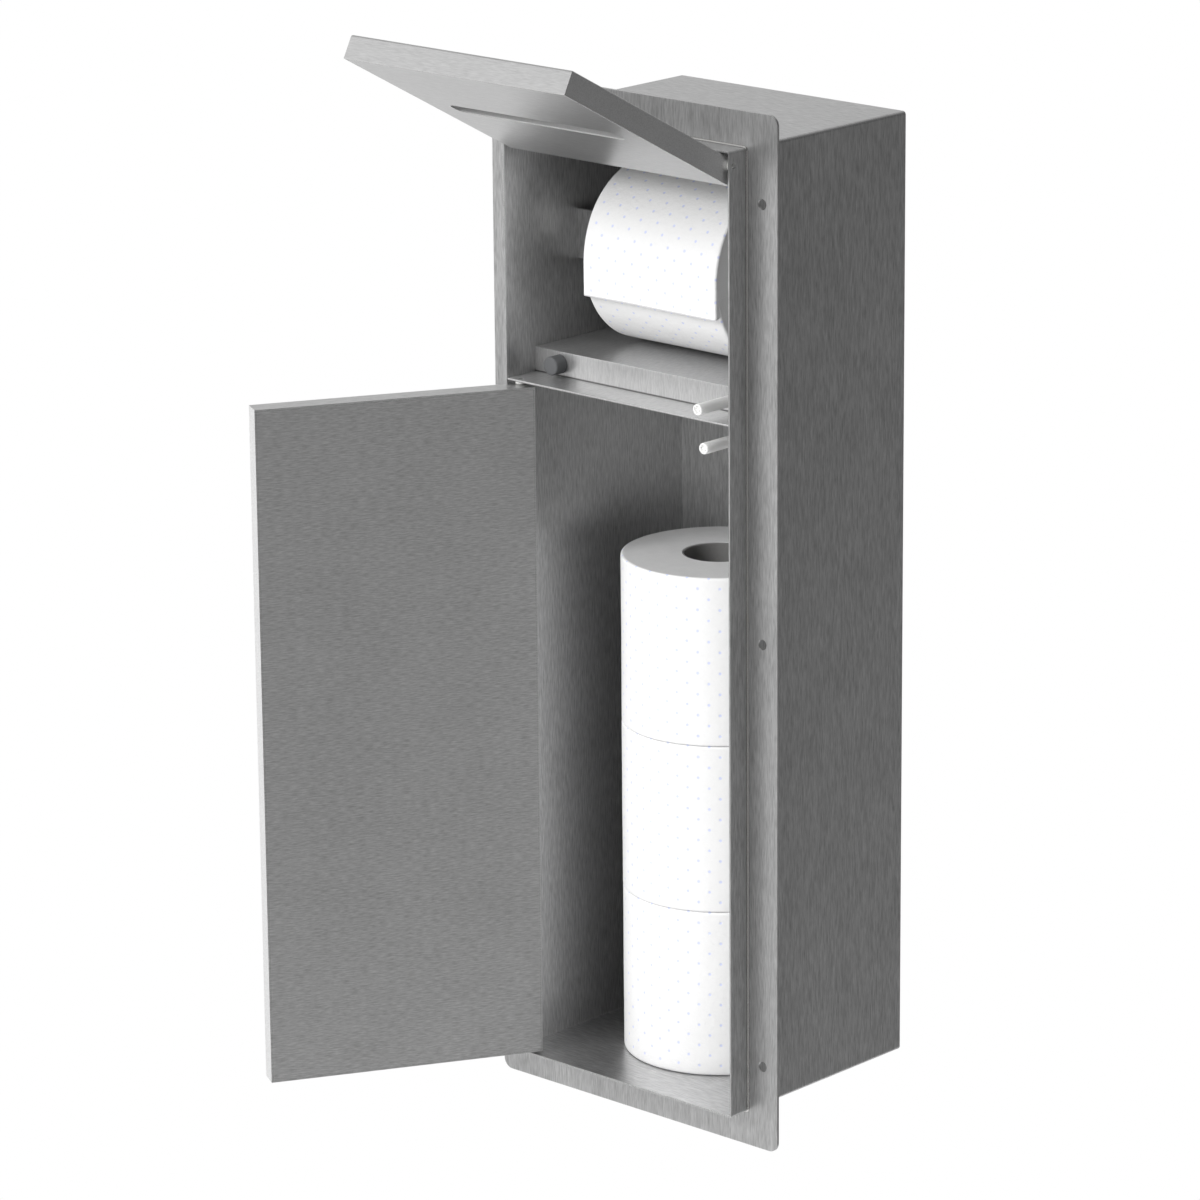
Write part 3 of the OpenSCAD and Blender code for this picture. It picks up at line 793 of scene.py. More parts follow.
class Bench:
    """Makes meshes and puts finishes on pieces."""

    @staticmethod
    def piece(name: str, points: Sequence[Vector], faces: Sequence[Sequence[int]],
              smooth: float = 35.0, slots: Sequence[int] = ()) -> bpy.types.Object:
        """Makes an object from points in millimetres.

        Args:
            name: The piece's name.
            points: Its corners in millimetres.
            faces: Its faces, by corner.
            smooth: Angle in degrees up to which faces shade into each other.
            slots: The faces' finish slots; all 0 when left out.

        Returns:
            The object, in the scene.
        """
        mesh = bpy.data.meshes.new(name)
        mesh.from_pydata([Vector(p) * MM for p in points], [], faces)
        if slots:
            mesh.polygons.foreach_set("material_index", slots)
        mesh.validate()
        work = bmesh.new()
        work.from_mesh(mesh)
        bmesh.ops.recalc_face_normals(work, faces=work.faces)
        for face in work.faces:
            face.smooth = True
        for edge in work.edges:
            if len(edge.link_faces) == 2 and edge.calc_face_angle() > math.radians(smooth):
                edge.smooth = False
        work.to_mesh(mesh)
        work.free()
        made = bpy.data.objects.new(name, mesh)
        bpy.context.scene.collection.objects.link(made)
        return made

    @staticmethod
    def axes(axis: Sequence[float]) -> Matrix:
        """Makes a frame round an axis.

        Args:
            axis: The frame's third direction, of any length.

        Returns:
            The frame, its directions as columns.
        """
        third = Vector(axis).normalized()
        first = Vector(UP) if abs(third.z) < 0.9 else Vector(ACROSS)
        first = (first - third * first.dot(third)).normalized()
        second = third.cross(first)
        return Matrix((first, second, third)).transposed()

    @staticmethod
    def skin(loops: Sequence[Sequence[int]], hub: int) -> list[list[int]]:
        """Joins rings of corners with faces.

        Args:
            loops: The rings, all with the same number of corners.
            hub: The corner in the middle of the first ring.

        Returns:
            A fan round the hub and the faces between the rings.
        """
        sides = len(loops[0])
        faces = [[hub, loops[0][k], loops[0][(k + 1) % sides]] for k in range(sides)]
        for low, high in zip(loops, loops[1:]):
            faces += [[low[k], low[(k + 1) % sides], high[(k + 1) % sides], high[k]]
                      for k in range(sides)]
        return faces

    @classmethod
    def turned(cls, name: str, start: Sequence[float], axis: Sequence[float],
               profile: Sequence[Span], sides: int = 48,
               ring: bool = False) -> bpy.types.Object:
        """Turns a profile about an axis.

        Args:
            name: The piece's name.
            start: Point on the axis where the profile's first measure is 0, millimetres.
            axis: Direction of the axis.
            profile: Places along the axis and radii; ends at radius 0 close to a point.
            sides: Points round the axis.
            ring: Whether the profile is closed, as for a tube or a ring.

        Returns:
            The object.
        """
        frame, origin = cls.axes(axis), Vector(start)
        points: list[Vector] = []
        loops: list[list[int]] = []
        for along, reach in profile:
            if reach <= 1e-6:
                points.append(origin + frame @ Vector((0.0, 0.0, along)))
                loops.append([len(points) - 1] * sides)
                continue
            loop = []
            for k in range(sides):
                turn = TURN * k / sides
                points.append(origin + frame @ Vector((reach * math.cos(turn),
                                                       reach * math.sin(turn), along)))
                loop.append(len(points) - 1)
            loops.append(loop)
        faces = []
        count = len(loops)
        for i in range(count if ring else count - 1):
            low, high = loops[i], loops[(i + 1) % count]
            for k in range(sides):
                corners = [low[k], low[(k + 1) % sides], high[(k + 1) % sides], high[k]]
                face = list(dict.fromkeys(corners))
                if len(face) > 2:
                    faces.append(face)
        return cls.piece(name, points, faces)

    @classmethod
    def wire_coil(cls, name: str, start: Sequence[float], axis: Sequence[float],
                  length: float, across: float, wire: float, turns: int) -> bpy.types.Object:
        """Winds a compression spring with closed ends.

        Args:
            name: The piece's name.
            start: Middle of the coil's first end, millimetres.
            axis: Direction of the coil.
            length: Length of the coil.
            across: Mean diameter.
            wire: Diameter of the wire.
            turns: Turns. The end ones are nearly closed: they rise by the creep alone.

        Returns:
            The object.
        """
        frame, origin = cls.axes(axis), Vector(start)
        steps, sides, closed, creep = 28, 10, 0.9, 0.0882
        last = turns * steps
        points: list[Vector] = []
        end = closed / turns
        for i in range(last + 1):
            share = i / last
            slope = min(max((share - end) / (1.0 - 2.0 * end), 0.0), 1.0)
            rise = (length - wire) * (creep * share + (1.0 - creep) * slope) + wire / 2.0
            turn = TURN * i / steps
            for j in range(sides):
                side = TURN * j / sides
                reach = across / 2.0 + wire / 2.0 * math.cos(side)
                lift = rise + wire / 2.0 * math.sin(side)
                points.append(origin + frame @ Vector((reach * math.cos(turn),
                                                       reach * math.sin(turn), lift)))
        faces: list[list[int]] = [list(range(sides))[::-1]]
        for i in range(last):
            for j in range(sides):
                a, b = i * sides + j, i * sides + (j + 1) % sides
                faces.append([a, b, b + sides, a + sides])
        faces.append([last * sides + j for j in range(sides)])
        return cls.piece(name, points, faces)

    @staticmethod
    def wear(piece: bpy.types.Object, *finishes: Finish) -> None:
        """Puts finishes in a piece's slots.

        Args:
            piece: The piece.
            finishes: The finishes, in the order of the slots.
        """
        slots = piece.data.materials
        for k, finish in enumerate(finishes):
            if k < len(slots):
                slots[k] = finish.material()
            else:
                slots.append(finish.material())

    @staticmethod
    def ease_edges(piece: bpy.types.Object, width: float, edge_slot: int,
                   limit: float = 30.0) -> None:
        """Rounds the sharp edges of a carried-over solid with modifiers.

        Args:
            piece: The solid.
            width: Width of the rounding in millimetres.
            edge_slot: Slot of the finish on the rounding, or -1 for the face's own.
            limit: Angle in degrees above which an edge counts as sharp.
        """
        weld = piece.modifiers.new("Joined", "WELD")
        weld.merge_threshold = 0.002 * MM
        bevel = piece.modifiers.new("Eased", "BEVEL")
        bevel.width = width * MM
        bevel.segments = 2
        bevel.limit_method = "ANGLE"
        bevel.angle_limit = math.radians(limit)
        bevel.use_clamp_overlap = True
        bevel.loop_slide = False
        bevel.miter_outer = "MITER_ARC"
        bevel.material = edge_slot
        normal = piece.modifiers.new("Evened", "WEIGHTED_NORMAL")
        normal.keep_sharp = False
        normal.weight = 60


class SubAssembly:
    """Part of the cabinet that builds its pieces, dresses them and says so."""

    title = "part"

    def build(self, frame: dict, palette: Palette) -> None:
        """Builds and dresses the pieces; each sub-assembly has its own way."""
        raise NotImplementedError(self.title)

    def keep(self, frame: dict, node: str, width: float, finish: Finish,
             edge: Finish | None = None) -> None:
        """Keeps a CAD solid as it is and gives it rounded edges and a finish.

        Args:
            frame: The loaded frame.
            node: Name of the solid.
            width: Rounding of its edges in millimetres.
            finish: Finish of its faces.
            edge: Finish of its rounded edges, if it isn't that of its faces.
        """
        solid = frame["nodes"][node]
        Bench.wear(solid, finish, *([edge] if edge else []))
        Bench.ease_edges(solid, width, 1 if edge else -1)
        LOG.info("%s: %s keeps its solid, finish %s", self.title, node, finish.name)

    def stand_for(self, piece: bpy.types.Object, body: str, slot: str,
                  finishes: Sequence[Finish], *nodes: str) -> None:
        """Dresses a new piece that stands for CAD solids.

        Args:
            piece: The new piece, in its place.
            body: The body that it moves with.
            slot: The record's material slot; not used.
            finishes: Its finishes, in the order of its slots.
            nodes: The solids that it stands for.
        """
        Bench.wear(piece, *finishes)
        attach(piece, body)
        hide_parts(*nodes)
        LOG.info("%s: %s rides on %s, %d corners, stands for %s", self.title, piece.name,
                 body, len(piece.data.vertices), ", ".join(nodes))

    def press(self, coil: bpy.types.Object, joint: str, axis: Point, anchor: Sequence[float],
              lengths: tuple[float, float]) -> None:
        """Lets a coil spring shorten towards its fixed end as a slide moves in.

        Args:
            coil: The spring.
            joint: The slide that presses it; not used.
            axis: Way along the spring; not used.
            anchor: Its fixed end, millimetres; not used.
            lengths: Its free length and the slide's stroke, millimetres; not used.
        """
        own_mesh(coil)


# ----------------------------------------------------------------- sub-assemblies


@dataclass
class Housing(SubAssembly):
    """Folded housing with its collar, back, flange, weld seam and divider."""

    fold_ease: float = 0.18
    flange_ease: float = 0.32
    weld_ease: float = 0.2
    back_ease: float = 0.15
    divider_ease: float = 0.3

    title = "housing"

    def build(self, frame: dict, palette: Palette) -> None:
        """Keeps the sheet solids and eases their edges.

        Args:
            frame: The loaded frame.
            palette: The finishes.
        """
        self.keep(frame, "housing_wrap", self.fold_ease, palette.sheet, palette.edge)
        self.keep(frame, "flange_plate", self.flange_ease, palette.flange, palette.edge)
        self.keep(frame, "flange_weld", self.weld_ease, palette.weld)
        self.keep(frame, "back_panel", self.back_ease, palette.back)
        self.keep(frame, "divider_shelf", self.divider_ease, palette.inside)


@dataclass
class Lids(SubAssembly):
    """Flap and door: pans, inner sheets, sleeve, stiffener and pivot blocks."""

    pan_ease: float = 0.18
    liner_ease: float = 0.12
    sleeve_ease: float = 0.15
    block_ease: float = 0.5

    title = "lids"

    def build(self, frame: dict, palette: Palette) -> None:
        """Keeps the lids' solids and eases their edges.

        Args:
            frame: The loaded frame.
            palette: The finishes.
        """
        self.keep(frame, "flap_pan", self.pan_ease, palette.flap, palette.edge)
        self.keep(frame, "flap_liner", self.liner_ease, palette.liner, palette.edge)
        self.keep(frame, "flap_sleeve", self.sleeve_ease, palette.sleeve)
        self.keep(frame, "door_pan", self.pan_ease, palette.door, palette.edge)
        self.keep(frame, "door_liner", self.liner_ease, palette.door, palette.edge)
        self.keep(frame, "door_stiffener", self.pan_ease, palette.hidden)
        for node in ("flap_block_left", "flap_block_right", "door_block_top",
                     "door_block_bottom"):
            self.keep(frame, node, self.block_ease, palette.block)


@dataclass
class Pivots(SubAssembly):
    """Pins and washers on which flap and door turn."""

    pin_ease: float = 0.15
    washer_d: float = 6.0
    washer_t: float = 1.6
    bore: float = 3.1
    washer_ease: float = 0.3
    groove: float = 0.12
    groove_in: float = 0.5

    title = "pivots"

    def washer(self, node: str, start: Point, axis: Point) -> bpy.types.Object:
        """A washer with rounded rims and a shallow groove in each face.

        Args:
            node: The solid that it stands for.
            start: Middle of its first face, millimetres.
            axis: Way through its bore.

        Returns:
            The object.
        """
        outer, inner, t = self.washer_d / 2, self.bore / 2, self.washer_t
        e, g = self.washer_ease, self.groove
        rise = self.groove_in + g
        profile = [(0.0, inner + e * 0.6), (0.0, inner + self.groove_in), (g, inner + rise),
                   (g, outer - rise), (0.0, outer - self.groove_in), (0.0, outer - e),
                   (e * 0.3, outer - e * 0.3), (e, outer), (t - e, outer),
                   (t - e * 0.3, outer - e * 0.3), (t, outer - e),
                   (t, outer - self.groove_in), (t - g, outer - rise), (t - g, inner + rise),
                   (t, inner + self.groove_in), (t, inner + e * 0.6), (t - e * 0.6, inner),
                   (e * 0.6, inner)]
        return Bench.turned(node + "_ring", start, axis, profile, sides=40, ring=True)

    def build(self, frame: dict, palette: Palette) -> None:
        """Keeps the pins and makes the washers.

        Args:
            frame: The loaded frame.
            palette: The finishes.
        """
        for node in ("flap_pin_left", "flap_pin_right", "door_pin_top", "door_pin_bottom"):
            self.keep(frame, node, self.pin_ease, palette.pin)
        for node, axis in (("flap_washer_left", ACROSS), ("flap_washer_right", ACROSS),
                           ("door_washer_top", UP), ("door_washer_bottom", UP)):
            low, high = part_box(node)
            middle = (low + high) / 2.0
            along = Vector(axis)
            start = (middle - along * ((high - low).dot(along) / 2.0)) / MM
            piece = self.washer(node, tuple(start), axis)
            self.stand_for(piece, "cabinet", "washer_plastic", [palette.washer], node)


@dataclass
class Latches(SubAssembly):
    """Two push latches with their plungers, springs, screws and bracket."""

    x: float = 67.0
    upper_z: float = 134.1
    lower_z: float = 111.0
    upper_tip: float = -23.0
    lower_tip: float = -18.0
    upper_stroke: float = 21.35
    lower_stroke: float = 16.35
    plunger_d: float = 6.5
    plunger_l: float = 50.0
    dimple_r: float = 1.0
    groove_r: float = 1.95
    groove_deep: float = 1.6
    neck: float = 0.12
    body_ease: float = 0.4
    bracket_ease: float = 0.15
    coil_d: float = 4.8
    coil_wire: float = 0.7
    coil_turns: int = 10
    head_d: float = 5.5
    head_t: float = 1.6
    recess_w: float = 0.84
    recess_deep: float = 1.0
    recess_reach: float = 0.6
    shank_d: float = 3.0
    shank_l: float = 7.0
    thread_lead: float = 0.7
    thread_deep: float = 0.28
    point: float = 0.75
    dome_drop: float = 0.38
    dome_curve: float = 3.2
    rim_rise: float = 0.42

    title = "latches"

    def plunger(self, name: str, tip: float, z: float) -> bpy.types.Object:
        """A round plunger whose tip has a ring-shaped groove, with a shallow neck behind it.

        Args:
            name: The piece's name.
            tip: Depth of its tip, millimetres.
            z: Height of its axis.

        Returns:
            The object.
        """
        r, l = self.plunger_d / 2, self.plunger_l
        inner, outer = self.dimple_r, self.groove_r
        deep, neck = self.groove_deep, r - self.neck
        profile = [(0.3, 0.0), (0.3, inner - 0.25), (0.45, inner - 0.05), (deep, inner),
                   (deep, outer), (0.25, outer + 0.15), (0.0, outer + 0.3), (0.0, r - 0.6),
                   (0.08, r - 0.36), (0.24, r - 0.14), (0.5, r - 0.02), (0.8, r), (3.2, r),
                   (3.35, neck), (3.6, neck), (3.75, r), (l * 0.5, r), (l - 0.6, r),
                   (l - 0.2, r - 0.12), (l, r - 0.4), (l, 0.0)]
        return Bench.turned(name, (self.x, tip, z), INTO, profile)

    def screw(self, name: str, y: float, top: float) -> bpy.types.Object:
        """A pan-head screw with a cross recess and a threaded shank, head up.

        Args:
            name: The piece's name.
            y: Place of its axis.
            top: Height of the sheet under its head.

        Returns:
            The object.
        """
        sides, steps = 64, 30
        head, rise, shank = self.head_d / 2, self.head_t, self.shank_d / 2
        points: list[Vector] = [Vector((self.x, y, top + rise - self.recess_deep))]
        loops: list[list[int]] = []

        def ring(measures: Sequence[Span]) -> None:
            """Adds one ring of points.

            Args:
                measures: Each point's distance from the axis and height over the sheet.
            """
            first = len(points)
            for k, (reach, height) in enumerate(measures):
                turn = TURN * k / sides
                points.append(Vector((self.x + reach * math.cos(turn),
                                      y + reach * math.sin(turn), top + height)))
            loops.append(list(range(first, len(points))))

        for row in (0.18, 0.36, 0.52, 0.66, 0.78, 0.88, 0.95, 1.0):
            fall = self.dome_drop * row ** self.dome_curve
            dome = rise * (1.0 - fall if row < 1.0 else self.rim_rise)
            measures = []
            for k in range(sides):
                turn = TURN * k / sides
                side = row * head * min(abs(math.cos(turn)), abs(math.sin(turn)))
                arm = side < self.recess_w / 2 and row < self.recess_reach
                measures.append((row * head, dome - (self.recess_deep if arm else 0.0)))
            ring(measures)
        for height, reach in ((0.1, head), (0.0, head - 0.12), (0.0, shank)):
            ring([(reach, height)] * sides)
        for i in range(1, steps + 1):
            drop = self.shank_l * i / steps
            taper = self.point if i == steps else 1.0
            measures = []
            for k in range(sides):
                phase = (drop / self.thread_lead + k / sides) % 1.0
                depth = self.thread_deep * abs(2.0 * phase - 1.0)
                measures.append(((shank - depth) * taper, -drop))
            ring(measures)
        return Bench.piece(name, points, Bench.skin(loops, 0) + [loops[-1]], smooth=28.0)

    def build(self, frame: dict, palette: Palette) -> None:
        """Makes plungers, springs and screws and keeps bodies and bracket.

        Args:
            frame: The loaded frame.
            palette: The finishes.
        """
        self.keep(frame, "latch_bracket", self.bracket_ease, palette.inside, palette.edge)
        for node in ("upper_latch_body", "lower_latch_body"):
            self.keep(frame, node, self.body_ease, palette.latch)
        for which, tip, z, stroke in (
                ("upper", self.upper_tip, self.upper_z, self.upper_stroke),
                ("lower", self.lower_tip, self.lower_z, self.lower_stroke)):
            piece = self.plunger(which + "_push_rod", tip, z)
            self.stand_for(piece, which + "_plunger", "plunger_plastic", [palette.plunger],
                           which + "_plunger")
            low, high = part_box(which + "_latch_spring")
            coil = Bench.wire_coil(which + "_return_spring", (self.x, low.y / MM, z), INTO,
                                   (high.y - low.y) / MM, self.coil_d, self.coil_wire,
                                   self.coil_turns)
            self.stand_for(coil, "cabinet", "spring_steel", [palette.spring],
                           which + "_latch_spring")
            self.press(coil, which + "_plunger_slide", INTO, (self.x, high.y / MM, z),
                       ((high.y - low.y) / MM, stroke))
            low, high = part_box(which + "_latch_screw")
            screw = self.screw(which + "_fixing_screw", (low.y + high.y) / 2 / MM,
                               high.z / MM - self.head_t)
            self.stand_for(screw, "cabinet", "screw_steel", [palette.screw],
                           which + "_latch_screw")


@dataclass
class Stop(SubAssembly):
    """Rubber bumper on the divider's upstand."""

    x: float = -63.8
    z: float = 134.15
    front: float = -1.7
    upstand_front: float = 7.3
    upstand_back: float = 8.5
    head_d: float = 11.0
    stem_d: float = 5.0
    barb_d: float = 7.0
    barb_t: float = 1.5
    groove: float = 0.25

    title = "bumper"

    def build(self, frame: dict, palette: Palette) -> None:
        """Turns the bumper with its domed face, stem and barb.

        Args:
            frame: The loaded frame; not used.
            palette: The finishes.
        """
        r, l = self.head_d / 2, self.upstand_front - self.front
        back = self.upstand_back - self.front
        profile = [(0.0, 0.0), (0.0, 1.6), (0.03, r - 1.2), (0.16, r - 0.6), (0.45, r - 0.22),
                   (0.9, r - 0.04), (1.3, r), (l - 1.4, r), (l - 1.2, r - self.groove),
                   (l - 0.9, r - self.groove), (l - 0.7, r), (l - 0.2, r), (l, r - 0.25),
                   (l, self.stem_d / 2), (back, self.stem_d / 2),
                   (back, self.barb_d / 2 - 0.15), (back + 0.15, self.barb_d / 2),
                   (back + self.barb_t * 0.5, self.barb_d / 2 - 0.1),
                   (back + self.barb_t - 0.1, self.stem_d / 2 - 0.1),
                   (back + self.barb_t, self.stem_d / 2 - 0.4), (back + self.barb_t, 0.0)]
        piece = Bench.turned("rubber_stop", (self.x, self.front, self.z), INTO, profile,
                             sides=56)
        self.stand_for(piece, "cabinet", "bumper_rubber", [palette.bumper], "bumper")


@dataclass
class Spindle(SubAssembly):
    """Spindle in two halves with its spring, and the two holders."""

    y: float = 65.0
    z: float = 201.3
    tube_x0: float = -65.8
    tube_x1: float = 1.6
    tube_d: float = 28.4
    wall: float = 1.4
    end_x0: float = -28.4
    end_x1: float = 65.5
    end_d: float = 25.5
    journal_d: float = 8.0
    journal_x: float = 70.3
    spring_x0: float = -64.4
    spring_l: float = 36.0
    spring_d: float = 18.0
    spring_wire: float = 1.2
    spring_turns: int = 8
    stroke: float = 8.0
    groove: float = 0.25
    mouth_groove: float = 0.2
    holder_ease: float = 0.2

    title = "spindle"

    def outer_half(self) -> bpy.types.Object:
        """Outer half: a tube open at the right, closed at the left by its journal.

        Returns:
            The object.
        """
        r, inner, j = self.tube_d / 2, self.tube_d / 2 - self.wall, self.journal_d / 2
        x0, x1, tip = self.tube_x0, self.tube_x1, -self.journal_x
        low, mouth = r - self.groove, r - self.mouth_groove
        profile = [(tip, 0.0), (tip, j - 0.6), (tip + 0.15, j - 0.2), (tip + 0.5, j),
                   (x0 - 0.3, j), (x0, j + 0.3), (x0, r - 0.8), (x0 + 0.25, r - 0.2),
                   (x0 + 0.8, r), (x0 + 3.0, r), (x0 + 3.2, low), (x0 + 4.0, low),
                   (x0 + 4.2, r), (x1 - 3.0, r), (x1 - 2.8, mouth), (x1 - 1.9, mouth),
                   (x1 - 1.7, r), (x1 - 0.4, r), (x1 - 0.1, r - 0.2), (x1, r - 0.5),
                   (x1, inner + 0.3), (x1 - 0.3, inner), (x0 + self.wall, inner),
                   (x0 + self.wall, 0.0)]
        return Bench.turned("spindle_sleeve", (0.0, self.y, self.z), ACROSS, profile,
                            sides=64)

    def inner_half(self) -> bpy.types.Object:
        """Inner half: a closed plug with its journal at the right.

        Returns:
            The object.
        """
        r, j = self.end_d / 2, self.journal_d / 2
        x0, x1, tip = self.end_x0, self.end_x1, self.journal_x
        low = r - self.groove
        profile = [(x0, 0.0), (x0, r - 0.8), (x0 + 0.25, r - 0.2), (x0 + 0.8, r),
                   (x1 - 6.0, r), (x1 - 5.8, low), (x1 - 4.8, low), (x1 - 4.6, r),
                   (x1 - 0.8, r), (x1 - 0.25, r - 0.2), (x1, r - 0.8), (x1, j + 0.4),
                   (x1 + 0.15, j + 0.1), (x1 + 0.3, j), (tip - 0.5, j), (tip - 0.15, j - 0.2),
                   (tip, j - 0.6), (tip, 0.0)]
        return Bench.turned("spindle_plug", (0.0, self.y, self.z), ACROSS, profile, sides=64)

    def build(self, frame: dict, palette: Palette) -> None:
        """Makes both halves and the spring and keeps the holders.

        Args:
            frame: The loaded frame.
            palette: The finishes.
        """
        for node in ("holder_left", "holder_right"):
            self.keep(frame, node, self.holder_ease, palette.sheet, palette.edge)
        self.stand_for(self.outer_half(), "cabinet", "spindle_plastic", [palette.spindle],
                       "spindle_tube")
        self.stand_for(self.inner_half(), "spindle_end", "spindle_plastic", [palette.spindle],
                       "spindle_end")
        start = (self.spring_x0, self.y, self.z)
        coil = Bench.wire_coil("spindle_coil", start, ACROSS, self.spring_l, self.spring_d,
                               self.spring_wire, self.spring_turns)
        self.stand_for(coil, "cabinet", "spring_steel", [palette.spring], "spindle_spring")
        self.press(coil, "spindle_end_slide", ACROSS, start, (self.spring_l, self.stroke))


@dataclass
class PaperRoll(SubAssembly):
    """One wound roll: its paper with a loose last sheet, its ends and its core.

    The edge_angle is where the loose edge lies, in degrees from the roll's front. The sheet
    merges with the roll over the arc, in degrees, and stands proud at its edge by the lift.
    Where hang_from is given, it leaves the roll at that angle and hangs straight down.
    Soft is how uneven the winding is, in millimetres, lift_wave the share by which the lift
    varies along the edge and edge_wave the angle, in radians, by which the edge wanders.
    Each rate is how fast such a measure varies, per millimetre; where it has two parts, the
    first is the one round the roll.
    """

    name: str = "roll"
    body: str = "cabinet"
    centre: Point = (0.0, 0.0, 0.0)
    level: bool = False
    radius: float = 57.0
    length: float = 100.0
    core_r: float = 21.5
    bore_r: float = 20.3
    edge_angle: float = 0.0
    arc: float = 100.0
    lift: float = 0.8
    # Width in millimetres of the painted shade strip along the loose edge.
    shade_strip: float = 0.7
    hang_from: float | None = None
    sheet_t: float = 0.5
    soft: float = 0.22
    soft_rate: Span = (2.2, 0.02)
    lift_wave: float = 0.22
    lift_rate: float = 0.035
    lift_curve: float = 1.6
    edge_wave: float = 0.006
    edge_rate: float = 0.03
    puff: float = 0.064
    puff_rate: Span = (1.5, 0.25)
    dish: float = 0.10
    columns: int = 56
    seed: float = 0.0
    nodes: tuple[str, str] = ("", "")
    sides: int = 220

    title = "rolls"

    def spot(self, run: float, reach: float, turn: float) -> Vector:
        """Finds a point on the roll.

        Args:
            run: Place along the axis from the roll's middle.
            reach: Distance from the axis.
            turn: Angle from the roll's front.

        Returns:
            The point in the cabinet's frame, millimetres.
        """
        c = Vector(self.centre)
        if self.level:
            return c + Vector((run, -reach * math.cos(turn), -reach * math.sin(turn)))
        return c + Vector((-reach * math.sin(turn), -reach * math.cos(turn), run))

    def outline(self, run: float, drop: float) -> list[Span]:
        """Angles and radii round the roll at one place along it.

        Args:
            run: Place along the axis from the roll's middle.
            drop: How much the radius is drawn in there, near the ends.

        Returns:
            The outline, from just past the loose edge round to it and under it.
        """
        edge = math.radians(self.edge_angle)
        wave = noise.noise(Vector((run * self.lift_rate, self.seed, 3.1)))
        lift = self.lift * (1.0 + self.lift_wave * wave)
        slip = self.edge_wave * noise.noise(Vector((run * self.edge_rate, 7.7, self.seed)))
        arc = math.radians(self.arc)
        round_rate, along_rate = self.soft_rate
        hung = edge - math.radians(self.hang_from) if self.hang_from is not None else 0.0
        result = []
        turns = [TURN * k / self.sides for k in range(self.sides)]
        for turn in (*turns, TURN - self.shade_strip / self.radius, TURN):
            share = max(0.0, 1.0 - (TURN - turn) / arc)
            soft = self.soft * noise.noise(Vector((round_rate * math.cos(turn),
                                                   round_rate * math.sin(turn),
                                                   run * along_rate + self.seed)))
            straight = 1.0 / math.cos(max(0.0, turn - TURN + hung)) - 1.0
            reach = (self.radius * (1.0 + straight) - self.soft + soft
                     + lift * share ** self.lift_curve - drop)
            result.append((edge + slip + turn, reach))
        end = edge + slip + TURN
        base, top = result[0][1], result[-1][1]
        result[-1] = (result[-1][0], top - 0.06)
        result.append((end, top - self.sheet_t))
        if not hung:
            return result + [(end - 0.03, max(base + 0.12, top - lift * 0.8))]
        for back in (0.3, 0.6):
            gap = self.radius * (1.0 / math.cos(hung * (1.0 - back)) - 1.0)
            result.append((end - back * hung, base + gap + lift - self.sheet_t))
        return result + [(end - 0.9 * hung, base + 0.02), (end - 0.6 * hung, base),
                         (end - 0.3 * hung, base)]

    def wound(self) -> bpy.types.Object:
        """The paper body with rounded rims and layered ends.

        Returns:
            The object; its slots are the paper, its ends and painted shade along the loose
            edge and round a standing roll's foot.
        """
        half, count, margin = self.length / 2, 26, 2.5
        rims = [(0.0, 1.3), (0.15, 0.75), (0.45, 0.32), (0.95, 0.08), (1.8, 0.0)]
        stations = [(-half + step, drop) for step, drop in rims]
        stations += [(-half + margin + (self.length - 2.0 * margin) * i / count, 0.0)
                     for i in range(count + 1)]
        stations += [(half - step, drop) for step, drop in reversed(rims)]
        points: list[Vector] = []
        faces: list[list[int]] = []

        def ring(places: Sequence[Point]) -> list[int]:
            """Adds one ring of points.

            Args:
                places: Each point's place along the axis, radius and angle.

            Returns:
                The corners' numbers.
            """
            first = len(points)
            points.extend(self.spot(*place) for place in places)
            return list(range(first, len(points)))

        ends = []
        round_rate, out_rate = self.puff_rate
        for side, (run, drop) in ((-1, stations[0]), (1, stations[-1])):
            rim, rings = self.outline(run, drop), []
            for share in (0.985, 0.9, 0.75, 0.55, 0.35, 0.15, 0.0):
                dish = self.dish if 0.0 < share < 0.98 else 0.0
                depth = self.puff * min(share * 4.0, 1.0)
                places = []
                for turn, reach in rim:
                    r = self.core_r + (reach - self.core_r) * share
                    bulge = depth * noise.noise(Vector((turn * round_rate, r * out_rate,
                                                        self.seed + side)))
                    places.append((run + side * (bulge - dish), r, turn))
                rings.append(ring(places))
            ends.append(rings)
        loops = [ring([(run, reach, turn) for turn, reach in self.outline(run, drop)])
                 for run, drop in stations]
        chain = list(reversed(ends[0])) + loops + ends[1]
        size, layers = len(loops[0]), len(ends[0])
        slots: list[int] = []
        for i, (low, high) in enumerate(zip(chain, chain[1:] + chain[:1])):
            end = not layers - 1 < i < layers + len(loops) - 1
            # Painted shade: a standing roll's bottom rim and the strip along the loose edge.
            foot_shade = not self.level and layers <= i <= layers + 1
            for k in range(size):
                faces.append([low[k], low[(k + 1) % size], high[(k + 1) % size], high[k]])
                shade_strip = foot_shade or self.sides <= k <= self.sides + 1
                slots.append(1 if end else 2 if shade_strip else 0)
        return Bench.piece(self.name, points, faces, smooth=40.0, slots=slots)

    def tube(self) -> bpy.types.Object:
        """The core, a card tube with soft rims.

        Returns:
            The object.
        """
        half, out, bore = self.length / 2 - 0.3, self.core_r - 0.05, self.bore_r
        profile = [(-half, bore + 0.25), (-half, out - 0.25), (-half + 0.25, out),
                   (-half + 3.0, out), (0.0, out), (half - 3.0, out), (half - 0.25, out),
                   (half, out - 0.25), (half, bore + 0.25), (half - 0.25, bore),
                   (half - 8.0, bore), (half - 30.0, bore), (0.0, bore), (-half + 30.0, bore),
                   (-half + 0.25, bore)]
        axis = ACROSS if self.level else UP
        return Bench.turned(self.name + "_core", self.centre, axis, profile, sides=72,
                            ring=True)

